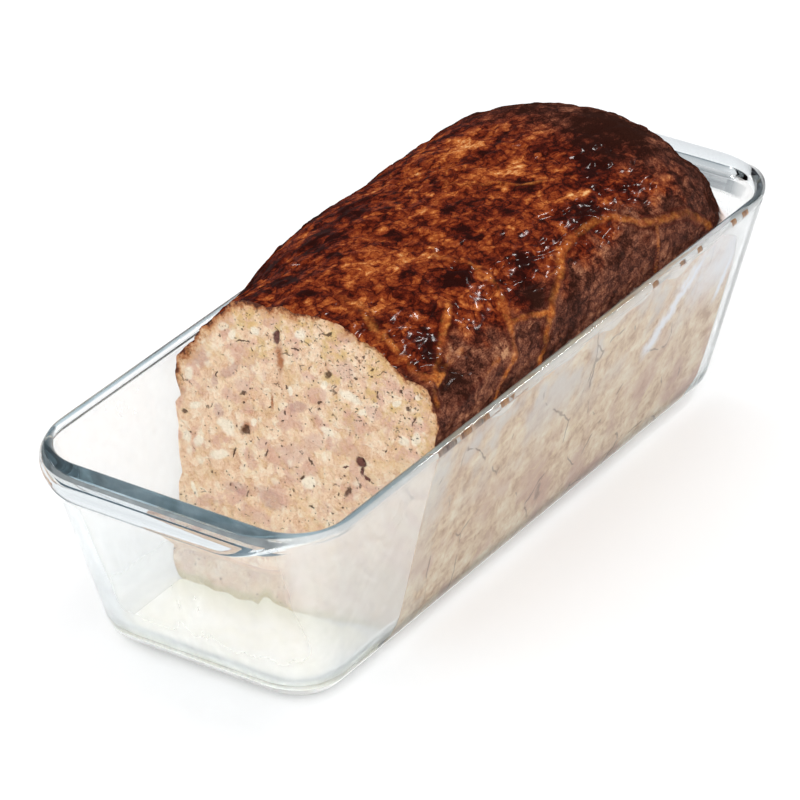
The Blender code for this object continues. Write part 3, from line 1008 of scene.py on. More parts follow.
@dataclass(frozen=True)
class GlassDish:
    """The pressed-glass loaf dish, with a thick rim and a grip at each end."""

    height: float
    rim_half_length: float
    rim_half_width: float
    rim_corner: float = 0.029
    mouth_half_length: float = 0.1415
    mouth_half_width: float = 0.0515
    mouth_corner: float = 0.0168
    foot_half_length: float = 0.129
    foot_half_width: float = 0.0445
    foot_corner: float = 0.0184
    foot_fillet: float = 0.011
    wall: float = 0.0042
    wall_top_half_length: float = 0.1454
    wall_top_half_width: float = 0.0543
    wall_top_corner: float = 0.0208
    floor: float = 0.005
    cavity_corner: float = 0.0142
    cavity_fillet: float = 0.009
    fillet_turn: float = math.radians(75)
    edge_round: float = 0.0016
    bead_depth: float = 0.003
    handle_reach: float = 0.0041
    handle_drop: float = 0.0034
    reach_turn: float = math.radians(90)
    drop_turn: float = math.radians(50)
    corner_steps: int = 20
    side_steps: int = 20
    end_steps: int = 12
    fillet_steps: int = 8
    wall_steps: int = 5
    wall_end: float = 0.02

    @classmethod
    def around_frame(cls) -> "GlassDish":
        """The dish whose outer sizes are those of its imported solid."""
        _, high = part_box("dish")
        return cls(height=high.z, rim_half_length=high.y - cls.handle_reach, rim_half_width=high.x)

    @property
    def wall_foot(self) -> float:
        """Height at which the inner fillet meets the sloping wall."""
        return self.floor + self.cavity_fillet * (1 - math.cos(self.fillet_turn))

    def cavity(self, z: Field, clearance: float) -> tuple[Field, Field]:
        """The space inside the glass at a height.

        Args:
            z: The heights.
            clearance: Taken off all round; a negative one reaches into the glass.

        Returns:
            Its half length and half width.
        """
        base_length = self.foot_half_length - self.wall - self.cavity_fillet
        base_width = self.foot_half_width - self.wall - self.cavity_fillet
        below = self.floor + self.cavity_fillet - z
        low = np.sqrt(np.clip((self.cavity_fillet - clearance) ** 2 - below ** 2, 0.0, None))
        out = self.cavity_fillet * math.sin(self.fillet_turn)
        share = (z - self.wall_foot) / (self.height - self.edge_round - self.wall_foot)
        length = mix(base_length + out, self.mouth_half_length, share) - clearance
        width = mix(base_width + out, self.mouth_half_width, share) - clearance
        in_fillet = z < self.wall_foot
        return (np.where(in_fillet, base_length + low, length),
                np.where(in_fillet, base_width + low, width))

    def outline(self, ring: Ring) -> list[Vector]:
        """Set points round a ring, anticlockwise from the middle of the +X side.

        Args:
            ring: The ring.

        Returns:
            Its points.
        """
        straight_x = ring.half_width - ring.corner
        straight_y = ring.half_length - ring.corner
        half_sides = self.side_steps // 2
        half_ends = self.end_steps // 2
        quarter = [(ring.half_width, straight_y * step / half_sides, 0.0)
                   for step in range(half_sides)]
        for step in range(self.corner_steps):
            turn = math.radians(90) * step / self.corner_steps
            to_end = math.radians(90) - turn
            reach = ring.reach * float(smooth(1 - to_end / self.reach_turn))
            drop = ring.drop * float(smooth(1 - to_end / self.drop_turn))
            quarter.append((straight_x + ring.corner * math.cos(turn),
                            straight_y + ring.corner * math.sin(turn) + reach, drop))
        end_y = ring.half_length + ring.reach
        quarter += [(straight_x * (1 - step / half_ends), end_y, ring.drop)
                    for step in range(half_ends)]
        half = quarter + [(0.0, end_y, ring.drop)] + [(-x, y, drop) for x, y, drop in quarter[::-1]]
        whole = half + [(-x, -y, drop) for x, y, drop in half[1:-1]]
        return [Vector((x, y, ring.height - drop)) for x, y, drop in whole]

    def fillet(self, foot: Ring, radius: float) -> list[Ring]:
        """Rings that turn from a flat floor up into a wall.

        Args:
            foot: The wall's outline on the floor, as if it had no fillet.
            radius: The fillet's radius.

        Returns:
            The rings, from the floor outwards.
        """
        rings = []
        for step in range(self.fillet_steps + 1):
            turn = self.fillet_turn * step / self.fillet_steps
            inset = radius * (1 - math.sin(turn))
            rings.append(Ring(foot.half_length - inset, foot.half_width - inset,
                              foot.corner - inset, foot.height + radius * (1 - math.cos(turn))))
        return rings

    def between(self, lower: Ring, upper: Ring) -> list[Ring]:
        """Rings that keep a straight wall flat, also close to both its ends.

        Args:
            lower: The ring where the wall starts.
            upper: The ring where it ends.

        Returns:
            The rings between the two.
        """
        shares = [self.wall_end, *(step / self.wall_steps for step in range(1, self.wall_steps)),
                  1 - self.wall_end]
        return [Ring(*(mix(getattr(lower, name), getattr(upper, name), share)
                       for name in ("half_length", "half_width", "corner", "height")))
                for share in shares]

    def rim(self) -> list[Ring]:
        """The bead or grip, the flat top and the rounded mouth.

        Returns:
            Their rings, from the outside inwards.
        """
        length, width, corner = self.rim_half_length, self.rim_half_width, self.rim_corner
        top, reach, drop = self.height, self.handle_reach, self.handle_drop
        under = top - self.bead_depth
        inner_length, inner_width = self.mouth_half_length, self.mouth_half_width
        inner_corner = self.mouth_corner
        wall_length, wall_width = self.wall_top_half_length, self.wall_top_half_width
        wall_corner = self.wall_top_corner
        return [
            Ring(wall_length, wall_width, wall_corner, under - 0.0020, 0.0, drop),
            Ring(wall_length + 0.0003, wall_width + 0.0001, wall_corner + 0.0003, under - 0.0008,
                 0.0, drop),
            Ring(wall_length + 0.0012, wall_width + 0.0003, wall_corner + 0.0012, under - 0.0002,
                 0.0, drop),
            Ring(length - 0.0014, width - 0.0008, corner - 0.0004, under, reach - 0.0014, drop),
            Ring(length - 0.0006, width - 0.0006, corner + 0.0004, under, reach - 0.0008, drop),
            Ring(length - 0.0002, width - 0.0002, corner, under + 0.0003, reach - 0.0002,
                 drop - 0.0001),
            Ring(length, width, corner, under + 0.0009, reach, drop - 0.0002),
            Ring(length, width, corner, top - 0.0013, reach, drop - 0.0006),
            Ring(length - 0.0001, width - 0.0001, corner, top - 0.0009, reach * 0.82,
                 drop * 0.66),
            Ring(length - 0.0002, width - 0.0002, corner - 0.0002, top - 0.0006, 0.0002, 0.0001),
            Ring(length - 0.0004, width - 0.0004, corner - 0.0004, top - 0.0002),
            Ring(length - 0.0010, width - 0.0008, corner - 0.0008, top),
            Ring(inner_length + 0.0017, inner_width + 0.0015, inner_corner + 0.0015, top),
            Ring(inner_length + 0.0010, inner_width + 0.0009, inner_corner + 0.0009, top - 0.0002),
            Ring(inner_length + 0.0004, inner_width + 0.0004, inner_corner + 0.0004, top - 0.0007),
            Ring(inner_length, inner_width, inner_corner, top - self.edge_round),
        ]

    def build(self, glass: PressedGlass) -> bpy.types.Object:
        """The dish: a loft through its rings, closed under the foot and on the inner floor.

        Args:
            glass: Its finish.

        Returns:
            The piece.
        """
        foot = Ring(self.foot_half_length, self.foot_half_width, self.foot_corner, 0.0)
        hollow = Ring(self.foot_half_length - self.wall, self.foot_half_width - self.wall,
                      self.cavity_corner, self.floor)
        outside = self.fillet(foot, self.foot_fillet)
        rim = self.rim()
        inside = self.fillet(hollow, self.cavity_fillet)[::-1]
        rings = outside + self.between(outside[-1], rim[0]) + rim
        inner_from = len(rings) - 1
        rings += self.between(rim[-1], inside[0]) + inside

        bm = bmesh.new()
        greasy = bm.verts.layers.float.new("greasy")
        top_face = bm.verts.layers.float.new("top_face")
        loops = []
        for number, ring in enumerate(rings):
            points = self.outline(ring)
            verts = bmesh.ops.create_circle(bm, segments=len(points), radius=1.0)["verts"]
            for vert, point in zip(verts, points):
                vert.co = point
                # The inner faces and the foot carry the film of grease and painted reflection veil.
                vert[greasy] = float(number > inner_from or ring.height < self.foot_fillet / 2)
                vert[top_face] = float(ring.height > self.height - TINY)
            loops.append(list({edge for vert in verts for edge in vert.link_edges}))
        for lower, upper in zip(loops, loops[1:]):
            bmesh.ops.bridge_loops(bm, edges=lower + upper)
        bmesh.ops.contextual_create(bm, geom=loops[0])
        bmesh.ops.contextual_create(bm, geom=loops[-1])
        bmesh.ops.recalc_face_normals(bm, faces=bm.faces)
        mesh = finished_mesh(bm, "glass_dish")
        mesh.shade_smooth()
        piece = add_piece(mesh, [glass.material()])
        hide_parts("dish")
        return piece


@dataclass(frozen=True)
class Strand:
    """A cord of the net of fat on the crust.

    Its half width is in millimetres.  Its points are given as degrees round from the crown and
    millimetres along the loaf.
    """

    half_width: float
    points: tuple[tuple[float, float], ...]


CAUL_NET = (
    Strand(1.7, ((68, 101), (57, 87), (53, 70), (50, 62), (43, 54), (41, 45), (41, 32))),
    Strand(2.0, ((41, 32), (42, 24), (46, 18), (53, 5), (60, -5), (68, -9))),
    Strand(1.9, ((17, -13), (27, -9), (36, -10), (44, -15), (51, -20), (60, -24))),
    Strand(1.3, ((50, -20), (52, -10), (55, 0))),
    Strand(2.1, ((5, -52), (13, -54), (24, -60), (35, -63), (46, -64), (56, -68))),
    Strand(1.7, ((34, -32), (40, -43), (47, -55), (50, -63))),
    Strand(1.4, ((57, -32), (59, -42), (60, -54), (60, -64))),
    Strand(1.2, ((48, -43), (49, -52), (52, -63))),
    Strand(1.0, ((-17, 33), (-7, 33), (2, 42), (10, 44), (17, 52))),
    Strand(1.0, ((17, -13), (10, -6), (2, -4), (-8, -12), (-16, -10))),
    Strand(1.3, ((60, -24), (64, -32), (68, -36))),
    Strand(1.2, ((53, 70), (60, 66), (68, 64))))


@dataclass(frozen=True)
class Patch:
    """A darker or lighter patch of crust: degrees round, then millimetres along and its sizes."""

    turn: float
    along: float
    half_along: float
    half_across: float
    tone: float


CRUST_PATCHES = tuple(Patch(*row) for row in (
    (14, 96, 17, 15, -0.42), (1, 74, 9, 7, -0.30), (24, 72, 14, 9, -0.34), (26, -20, 8, 5, -0.45),
    (-7, -57, 4, 5, -0.60),
    (48, 0, 9, 6, -0.45), (-27, -22, 11, 6, -0.34), (-4, -11, 7, 5, -0.32), (42, -52, 9, 7, -0.42),
    (14, 8, 6, 5, -0.36), (36, 5, 7, 5, -0.40), (62, 12, 10, 8, -0.25), (56, -56, 10, 7, -0.30),
    (36, 46, 9, 5, -0.40), (13, 45, 6, 4, -0.30), (-23, -50, 12, 7, -0.30), (-32, 2, 13, 5, -0.30),
    (-46, -50, 30, 9, -0.28), (-50, 20, 40, 8, -0.26), (-4, -50, 8, 6, -0.15), (0, 20, 9, 4, -0.2),
    (3, -30, 16, 9, 0.30), (3, 58, 18, 5, 0.26), (-26, 66, 20, 8, 0.24), (12, -54, 7, 6, 0.24),
    (-8, 90, 14, 7, 0.22), (30, 54, 5, 3, 0.34), (46, -47, 5, 4, 0.30), (56, -29, 6, 5, 0.26),
    (42, 22, 8, 2, 0.34), (-8, 4, 9, 4, 0.22), (14, -15, 9, 4, 0.22), (-24, 40, 22, 6, 0.16),
    (-3, 42, 8, 3, 0.24), (60, -62, 5, 4, 0.20)))

# The outline of the cut face above the glass and down its left side, in millimetres.
CUT_OUTLINE = (
    (-41.5, 29.0), (-40.0, 37.0), (-43.0, 52.5), (-45.0, 59.5), (-43.0, 62.5), (-46.5, 69.5),
    (-46.5, 74.5), (-44.5, 77.0), (-40.5, 81.5), (-38.0, 87.0), (-32.0, 93.5), (-26.0, 99.0),
    (-20.5, 100.5), (-14.0, 100.0), (-8.5, 102.0), (-4.0, 100.5), (1.0, 101.5), (7.0, 102.5),
    (14.0, 102.5), (21.5, 99.0), (27.0, 98.0), (32.5, 95.0), (39.0, 91.5), (46.5, 90.5),
    (49.0, 86.5), (51.5, 82.5), (51.0, 76.5))

# How far a direction from the loaf's middle points up, and the far end's rounding there, in metres.
END_ROUNDING = ((-0.62, 0.014), (0.0, 0.017), (0.22, 0.022), (0.36, 0.040), (0.50, 0.053), (0.77, 0.056),
                (1.0, 0.043))


@dataclass(frozen=True)
class Section:
    """Sections across the loaf, one for each point that is placed.

    Settled is 0 at the cut and 1 where the loaf has its full shape.  The others are the heights
    of the crown and of the place where the loaf leaves the glass.
    """

    settled: Field
    crown: Field
    leaves: Field | float


@dataclass(frozen=True)
class Bumps:
    """One layer of noise in a relief: the size of its lumps, their height and its seed."""

    size: Size
    height: float
    seed: float


def height_of(layers: Sequence[Bumps], points: Field) -> Field:
    """Height of some layers of bumps together, at each point."""
    return sum(noise_at(points, layer.size, layer.seed) * layer.height for layer in layers)


@dataclass(frozen=True)
class Relief:
    """The fine relief of the crust, of the net of fat on it, and of the crumb."""

    lumps: tuple[Bumps, ...] = (Bumps(0.022, 0.0007, 1.0), Bumps(0.008, 0.0006, 2.0))
    crease_sway: tuple[Bumps, ...] = (
        Bumps(0.014, 0.004, 3.0), Bumps(0.014, 0.004, 4.0), Bumps(0.014, 0.004, 5.0))
    creases: tuple[Bumps, ...] = (
        Bumps((0.0062, 0.022, 0.0062), 0.0008, 6.0), Bumps((0.0034, 0.010, 0.0034), 0.0004, 7.0))
    crease_sharpness: float = 2.6
    crease_patch_size: float = 0.026
    puckers: tuple[Bumps, ...] = (Bumps(0.0042, 0.00032, 8.0), Bumps(0.0024, 0.00018, 9.0))
    cord_height: float = 0.0004
    cord_half_width: float = 0.0020
    groove_depth: float = 0.0003
    groove_from_cord: float = 0.0042
    groove_half_width: float = 0.0016
    crumbs: tuple[Bumps, ...] = (
        Bumps(0.013, 0.0003, 11.0), Bumps(0.004, 0.00022, 12.0), Bumps(0.0019, 0.00012, 13.0))
    pit_depth: float = 0.0007
    pit_least_width: float = 0.6

    def crust(self, points: Field, strand: Field) -> Field:
        """Height of the crust's wrinkles, blisters and net over the smooth loaf.

        Args:
            points: The points.
            strand: How far each lies from the net.

        Returns:
            The height at each.
        """
        sway = np.stack([height_of([layer], points) for layer in self.crease_sway], axis=1)
        bent = points + sway
        folds = sum(
            fold.height * smooth(
                1 - np.abs(noise_at(bent, fold.size, fold.seed)) * self.crease_sharpness) ** 3
            for fold in self.creases)
        strength = np.clip(0.6 + 0.8 * noise_at(points, self.crease_patch_size, 10.0), 0.1, 1.0)
        relief = height_of(self.lumps, points) + height_of(self.puckers, bent) - strength * folds
        cord = np.exp(-((strand / self.cord_half_width) ** 2))
        groove = np.exp(-(((strand - self.groove_from_cord) / self.groove_half_width) ** 2))
        return relief + self.cord_height * cord - self.groove_depth * groove

    def crumb(self, points: Field) -> Field:
        """Height of the cut face's crumb, with a pit at each hole.

        Args:
            points: The points.

        Returns:
            The height at each.
        """
        relief = height_of(self.crumbs, points)
        for hole in HOLES + BLOOD_CRACKS:
            turn = math.radians(hole.turn)
            across = points[:, 0] - hole.across * MM
            up = points[:, 2] - hole.height * MM
            length = (across * math.cos(turn) + up * math.sin(turn)) / (hole.length * MM)
            widest = max(hole.width, self.pit_least_width) * MM
            width = (up * math.cos(turn) - across * math.sin(turn)) / widest
            relief -= self.pit_depth * min(hole.width, 1.0) * np.exp(-(length ** 2) - width ** 2)
        return relief


@dataclass(frozen=True)
class Loaf:
    """The terrine: a loaf shaped by its dish, domed above it and cut at its -Y end."""

    dish: GlassDish
    crown: float
    relief: Relief = Relief()
    # How far the meat reaches into the glass.
    bite: float = 0.00025
    # Where the cut face stands at the rim's height, and how far it leans back for each metre up.
    cut_y_at_rim: float = -0.072
    cut_lean: float = 0.17
    # The crown sinks a little behind the cut.
    crown_sag: float = 0.0020
    sag_length: float = 0.160
    # Above the shoulders the section is a superellipse, which swells on the right by the cut.
    shoulder: float = 0.075
    left_shoulder_at_cut: float = 0.069
    dome_power_at_cut: float = 1.9
    dome_power: float = 2.35
    shoulder_swell: float = 0.045
    swell_start: float = 0.25
    # The loaf has shrunk away from the left wall at the cut, and a little from all near the rim.
    left_gap_at_cut: float = 0.0046
    left_gap_share_at_floor: float = 0.4
    shrink: float = 0.0012
    shrink_start: float = 0.065
    leaving_sway: float = 0.008
    leaving_sway_size: float = 0.014
    far_gap: float = 0.0035
    # Behind the cut, the section takes on its full shape over this length, unevenly on the left.
    settle_start: float = 0.015
    settle_length: float = 0.032
    settle_length_left: float = 0.055
    settle_sway: float = 0.012
    settle_sway_size: float = 0.016
    # The cut face's ragged outline fades over this share of that length, and round its ends.
    cut_share: float = 0.625
    ragged_margin: float = math.radians(8)
    # The foot of the cut face bulges forwards, but lies back on the right, and is uneven.
    foot_bulge: float = 0.0035
    foot_bulge_height: float = 0.025
    toe_in: float = 0.0045
    toe_in_from: float = 0.065
    foot_sway: float = 0.0020
    foot_sway_height: float = 0.012
    foot_sway_size: float = 0.0045
    # The heights from which there is crust, and how softly its relief and the crumb's start.
    crust_from: float = 0.0705
    crust_from_left: float = 0.069
    crust_fade: float = 0.006
    crumb_margin: float = 0.002
    net_reach: float = 0.02
    # Each section is found along spokes from its centre, by halving.
    centre: float = 0.052
    spoke_limit: float = 0.12
    spoke_halvings: int = 20
    settling_passes: int = 3
    # The share of the block's length that becomes the rounded far end.
    end_share: float = 0.22
    # How far the crust's patches spread past their sizes, and how their outlines wander.
    patch_edge: float = 1.35
    patch_sway: tuple[Bumps, ...] = (Bumps(0.008, 0.0035, 21.0), Bumps(0.008, 0.0035, 22.0))
    # How often the block is cut across, along and up.
    cuts: tuple[int, int, int] = (115, 165, 83)
    crown_clearance: float = 0.0006

    @classmethod
    def in_dish(cls, dish: GlassDish) -> "Loaf":
        """The loaf in its dish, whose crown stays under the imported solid's top."""
        _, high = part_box("terrine")
        return cls(dish=dish, crown=high.z - cls.crown_clearance)

    def cut_y(self, x: Field, z: Field) -> Field:
        """Where the leaning cut face lies, whose foot bulges but for the right side.

        Args:
            x: Coordinates across the loaf.
            z: Heights.

        Returns:
            The face's Y at each.
        """
        plane = self.cut_y_at_rim + self.cut_lean * (z - self.dish.height)
        low = smooth(1 - z / self.foot_bulge_height)
        right = smooth(x / self.dish.foot_half_width)
        toe_in = self.toe_in * right * smooth(1 - z / self.toe_in_from)
        sway = self.foot_sway * uneven(x, self.foot_sway_size, 3.0) * smooth(1 - z / self.foot_sway_height)
        return plane - self.foot_bulge * low * (1 - right) + toe_in + sway

    def half_width(self, right: Field, z: Field, section: Section) -> Field:
        """Half width of the loaf.

        Args:
            right: True on the +X side.
            z: The height.
            section: The section.

        Returns:
            The half width on that side.
        """
        settled, crown, leaves = section.settled, section.crown, section.leaves
        shoulder = np.where(right, self.shoulder,
                            mix(self.left_shoulder_at_cut, self.shoulder, settled))
        shrunk = self.shrink * smooth((z - leaves) / (self.shoulder - leaves))
        near_gap = self.left_gap_at_cut * mix(self.left_gap_share_at_floor, 1.0,
                                              smooth(z / self.shrink_start))
        gap = np.where(right, shrunk * settled, mix(near_gap, shrunk, settled))
        swell = np.where(right, self.shoulder_swell * (1 - settled), 0.0)
        width = self.dish.cavity(np.minimum(z, shoulder), -self.bite)[1] - gap
        power = mix(self.dome_power_at_cut, self.dome_power, settled)
        rise = np.clip((z - shoulder) / (crown - shoulder), 0.0, 1.0)
        dome = (1 - rise ** power) ** (1 / power)
        swelling = 1 + swell * np.sin(math.tau * rise) * smooth(rise / self.swell_start)
        return np.where(z <= shoulder, width, width * dome * swelling)

    def radius(self, direction_x: Field, direction_z: Field, section: Section) -> Field:
        """How far the loaf's outline lies from the section's centre.

        Args:
            direction_x: How far each direction from the centre goes across.
            direction_z: How far it goes up.
            section: The section.

        Returns:
            The distance along each direction.
        """
        near = np.zeros_like(direction_x)
        far = np.full_like(direction_x, self.spoke_limit)
        floor = self.dish.floor - self.bite
        for _ in range(self.spoke_halvings):
            middle = (near + far) / 2
            z = self.centre + middle * direction_z
            width = self.half_width(direction_x >= 0, z, section)
            inside = (z >= floor) & (z <= section.crown) & (np.abs(middle * direction_x) <= width)
            near = np.where(inside, middle, near)
            far = np.where(inside, far, middle)
        return near

    def cut_radius(self, direction_x: Field, direction_z: Field, plain: Field) -> Field:
        """The ragged outline of the cut face above the glass and down its left side.

        Args:
            direction_x: How far each direction from the section's centre goes across.
            direction_z: How far it goes up.
            plain: The plain outline's distance, which holds elsewhere.

        Returns:
            The distance along each direction.
        """
        angles = [math.atan2(x * MM, z * MM - self.centre) for x, z in CUT_OUTLINE]
        radii = [math.hypot(x * MM, z * MM - self.centre) for x, z in CUT_OUTLINE]
        angle = np.arctan2(direction_x, direction_z)
        ragged = np.interp(angle, angles, radii)
        inside = (smooth((angle - angles[0]) / self.ragged_margin)
                  * smooth((angles[-1] - angle) / self.ragged_margin))
        return mix(plain, ragged, inside)

    @staticmethod
    def end_rounding(direction_z: Field) -> Field:
        """Radius that the far end is rounded with, under, beside or on top of the loaf."""
        upward = [share for share, _ in END_ROUNDING]
        return np.interp(direction_z, upward, [radius for _, radius in END_ROUNDING])

    def place(self, unit: Field) -> tuple[Field, Field, Field]:
        """Move the points of a unit block onto the smooth loaf.

        Args:
            unit: Points of the block, from -1 to 1 along each axis.

        Returns:
            The points on the loaf, the outward direction at each, and how far each point of the
            cut face lies inside its outline.
        """
        u, v, w = unit[:, 0], (unit[:, 1] + 1) / 2, unit[:, 2]
        spread = np.maximum(np.abs(u), np.abs(w))
        length = np.maximum(np.hypot(u, w), TINY)
        direction_x = u / length
        direction_z = np.where(spread < TINY, 1.0, w / length)
        rounding = self.end_rounding(direction_z)
        turn = math.radians(90) * np.clip(v - (1 - self.end_share), 0.0, None) / self.end_share
        along = np.clip(v / (1 - self.end_share), 0.0, 1.0)

        settled = np.zeros_like(u)
        y = np.full_like(u, self.cut_y_at_rim)
        for _ in range(self.settling_passes):
            crown = self.crown - self.crown_sag * smooth((y - self.cut_y_at_rim) / self.sag_length)
            leaves = self.shrink_start + self.leaving_sway * uneven(y, self.leaving_sway_size, 2.0)
            full = self.radius(direction_x, direction_z, Section(settled, crown, leaves))
            behind_cut = (y - self.cut_y_at_rim) / self.settle_length
            full = mix(self.cut_radius(direction_x, direction_z, full), full,
                       smooth(behind_cut / self.cut_share))
            radius = full - rounding * (1 - np.cos(turn))
            z = self.centre + spread * radius * direction_z
            end_y = self.dish.cavity(np.minimum(z, self.shoulder), 0.0)[0] - self.far_gap
            near_y = self.cut_y(spread * radius * direction_x, z)
            y = mix(near_y, end_y - rounding, along) + rounding * np.sin(turn)
            settle_length = np.where(u < 0, self.settle_length_left, self.settle_length)
            start = self.settle_start + self.settle_sway * uneven(z, self.settle_sway_size, 5.0) * (u < 0)
            settled = smooth((y - near_y - start) / settle_length)
        points = np.stack([spread * radius * direction_x, y, z], axis=1)
        outward = np.stack([direction_x * np.cos(turn), np.sin(turn), direction_z * np.cos(turn)],
                           axis=1)
        return points, outward, (1 - spread) * radius

    def strand_distance(self, points: Field) -> Field:
        """How far each point lies from the nearest strand, as if all were 2 mm to the edge.

        Args:
            points: The points.

        Returns:
            The distance of each.
        """
        nearest = np.full(len(points), self.net_reach)
        for strand in CAUL_NET:
            turns = np.radians([turn for turn, _ in strand.points])
            along = np.array([y * MM for _, y in strand.points])
            x, z = np.sin(turns), np.cos(turns)
            crown = np.full_like(x, self.crown - self.crown_sag)
            radius = self.radius(x, z, Section(np.ones_like(x), crown, self.shrink_start))
            route = np.stack([x * radius, along, self.centre + z * radius], axis=1)
            for start, end in zip(route, route[1:]):
                step = end - start
                share = np.clip((points - start) @ step / (step @ step), 0.0, 1.0)
                gap = points - start - share[:, None] * step
                reach = np.linalg.norm(gap, axis=1) * 2 / strand.half_width
                nearest = np.minimum(nearest, reach)
        return nearest

    def crust_tone(self, points: Field, turn: Field) -> Field:
        """How much lighter or darker than usual the crust is.

        Args:
            points: The points.
            turn: How many degrees each lies round from the crown.

        Returns:
            The tone at each, which is negative where the crust is darker.
        """
        sway = np.stack([height_of([layer], points) for layer in self.patch_sway], axis=1)
        tone = np.zeros(len(points))
        for patch in CRUST_PATCHES:
            across = np.radians(turn - patch.turn) * self.centre + sway[:, 0]
            along = points[:, 1] - patch.along * MM + sway[:, 1]
            reach = np.hypot(across / (patch.half_across * MM), along / (patch.half_along * MM))
            tone += patch.tone * smooth(self.patch_edge - reach)
        return tone

    def block(self) -> bpy.types.Mesh:
        """A block from -1 to 1 along each axis, cut into a grid.

        Returns:
            The mesh, whose -Y face has the second finish.
        """
        bm = bmesh.new()
        bmesh.ops.create_cube(bm, size=2.0)
        for axis, count in enumerate(self.cuts):
            across = [edge for edge in bm.edges
                      if abs(edge.verts[0].co[axis] - edge.verts[1].co[axis]) > TINY]
            bmesh.ops.subdivide_edges(bm, edges=across, cuts=count, use_grid_fill=True)
        for face in bm.faces:
            face.smooth = True
            face.material_index = int(all(vert.co.y < -1 + TINY for vert in face.verts))
        for edge in bm.edges:
            numbers = {face.material_index for face in edge.link_faces}
            edge.smooth = len(numbers) == 1
        bmesh.ops.recalc_face_normals(bm, faces=bm.faces)
        return finished_mesh(bm, "terrine_loaf")

    def shape(self, unit: Field) -> tuple[Field, dict[str, Field]]:
        """Shape the block's points into the loaf, with its crust and crumb.

        Args:
            unit: Points of the block, from -1 to 1 along each axis.

        Returns:
            The points on the loaf, and the numbers by name that its finishes read there.
        """
        on_cut = unit[:, 1] < -1 + TINY
        on_skin = np.maximum(np.abs(unit[:, 0]), np.abs(unit[:, 2])) > 1 - TINY
        on_skin |= unit[:, 1] > 1 - TINY
        points, outward, inside = self.place(unit)
        above = points[:, 2] - np.where(points[:, 0] < 0, self.crust_from_left, self.crust_from)
        free = smooth(above / self.crust_fade + 0.5) * on_skin
        crusty = free > 0
        turn = np.degrees(np.arctan2(points[:, 0], points[:, 2] - self.centre))
        strand = np.full(len(points), self.net_reach)
        strand[crusty] = self.strand_distance(points[crusty])
        tone, relief = np.zeros((2, len(points)))
        tone[crusty] = self.crust_tone(points[crusty], turn[crusty])
        relief[crusty] = self.relief.crust(points[crusty], strand[crusty]) * free[crusty]
        points += outward * relief[:, None]
        crumb_relief = self.relief.crumb(points[on_cut])
        points[on_cut, 1] -= crumb_relief * smooth(inside[on_cut] / self.crumb_margin)
        _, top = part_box("terrine")
        points[:, 2] = np.minimum(points[:, 2], top.z)
        return points, {"above_line": above, "strand": strand, "inside": inside, "tone": tone,
                        "turn": turn / 90}

    def build(self, skin: LoafSkin, crumb: CutCrumb) -> bpy.types.Object:
        """The loaf, from a block whose points move onto it.

        Args:
            skin: The finish of its outside.
            crumb: The finish of its cut face.

        Returns:
            The piece.
        """
        mesh = self.block()
        unit = np.empty(len(mesh.vertices) * 3)
        mesh.vertices.foreach_get("co", unit)
        points, layers = self.shape(unit.reshape(-1, 3))
        mesh.vertices.foreach_set("co", points.ravel())
        for name, values in layers.items():
            layer = mesh.attributes.new(name, "FLOAT", "POINT")
            layer.data.foreach_set("value", values.astype(np.float32))
        mesh.update()
        piece = add_piece(mesh, [skin.material(), crumb.material()])
        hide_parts("terrine")
        return piece


@dataclass(frozen=True)
class FatFilm:
    """The thin film of set fat on the dish's floor, in front of the cut."""

    floor: float
    cut_y: float
    reach: float = 0.0365
    tuck: float = 0.003
    half_width: float = 0.0375
    squareness: int = 5
    thickness: float = 0.0003
    embed: float = 0.0001
    slope: int = 4
    wander: float = 0.0016
    wander_size: float = 0.009
    segments: int = 96

    @classmethod
    def before_cut(cls, loaf: Loaf) -> "FatFilm":
        """The film that starts under a loaf's cut face."""
        floor = loaf.dish.floor
        return cls(floor=floor, cut_y=float(loaf.cut_y(np.array(0.0), np.array(floor))))

    def build(self, grease: PlainGrease) -> bpy.types.Object:
        """The film: a wavy rounded sheet that thins out at its rim.

        Args:
            grease: Its finish.

        Returns:
            The piece.
        """
        bm = bmesh.new()
        verts = bmesh.ops.create_circle(bm, segments=self.segments, radius=1.0, cap_ends=True)["verts"]
        near_y, far_y = self.cut_y - self.reach, self.cut_y + self.tuck
        half_length, middle = (far_y - near_y) / 2, (far_y + near_y) / 2
        for vert in verts:
            turn = math.atan2(vert.co.y, vert.co.x)
            shape = (abs(math.cos(turn)) ** self.squareness
                     + abs(math.sin(turn)) ** self.squareness) ** (-1 / self.squareness)
            x = math.cos(turn) * shape * self.half_width
            y = math.sin(turn) * shape * half_length + middle
            edge = noise.noise(Vector((x, y, 0.3)) / self.wander_size) * self.wander
            vert.co = (x + math.cos(turn) * edge, y + math.sin(turn) * edge,
                       self.floor - self.embed)
        grown = bmesh.ops.extrude_face_region(bm, geom=bm.faces[:])["geom"]
        top = [part for part in grown if isinstance(part, bmesh.types.BMFace)]
        bmesh.ops.inset_region(bm, faces=top, thickness=self.thickness * self.slope,
                               depth=self.thickness + self.embed)
        bmesh.ops.recalc_face_normals(bm, faces=bm.faces)
        return add_piece(finished_mesh(bm, "fat_film"), [grease.material()])


@dataclass(frozen=True)
class Speck:
    """A smear baked onto the inside of the right wall, in millimetres."""

    along: float
    below_rim: float
    half_along: float
    half_up: float


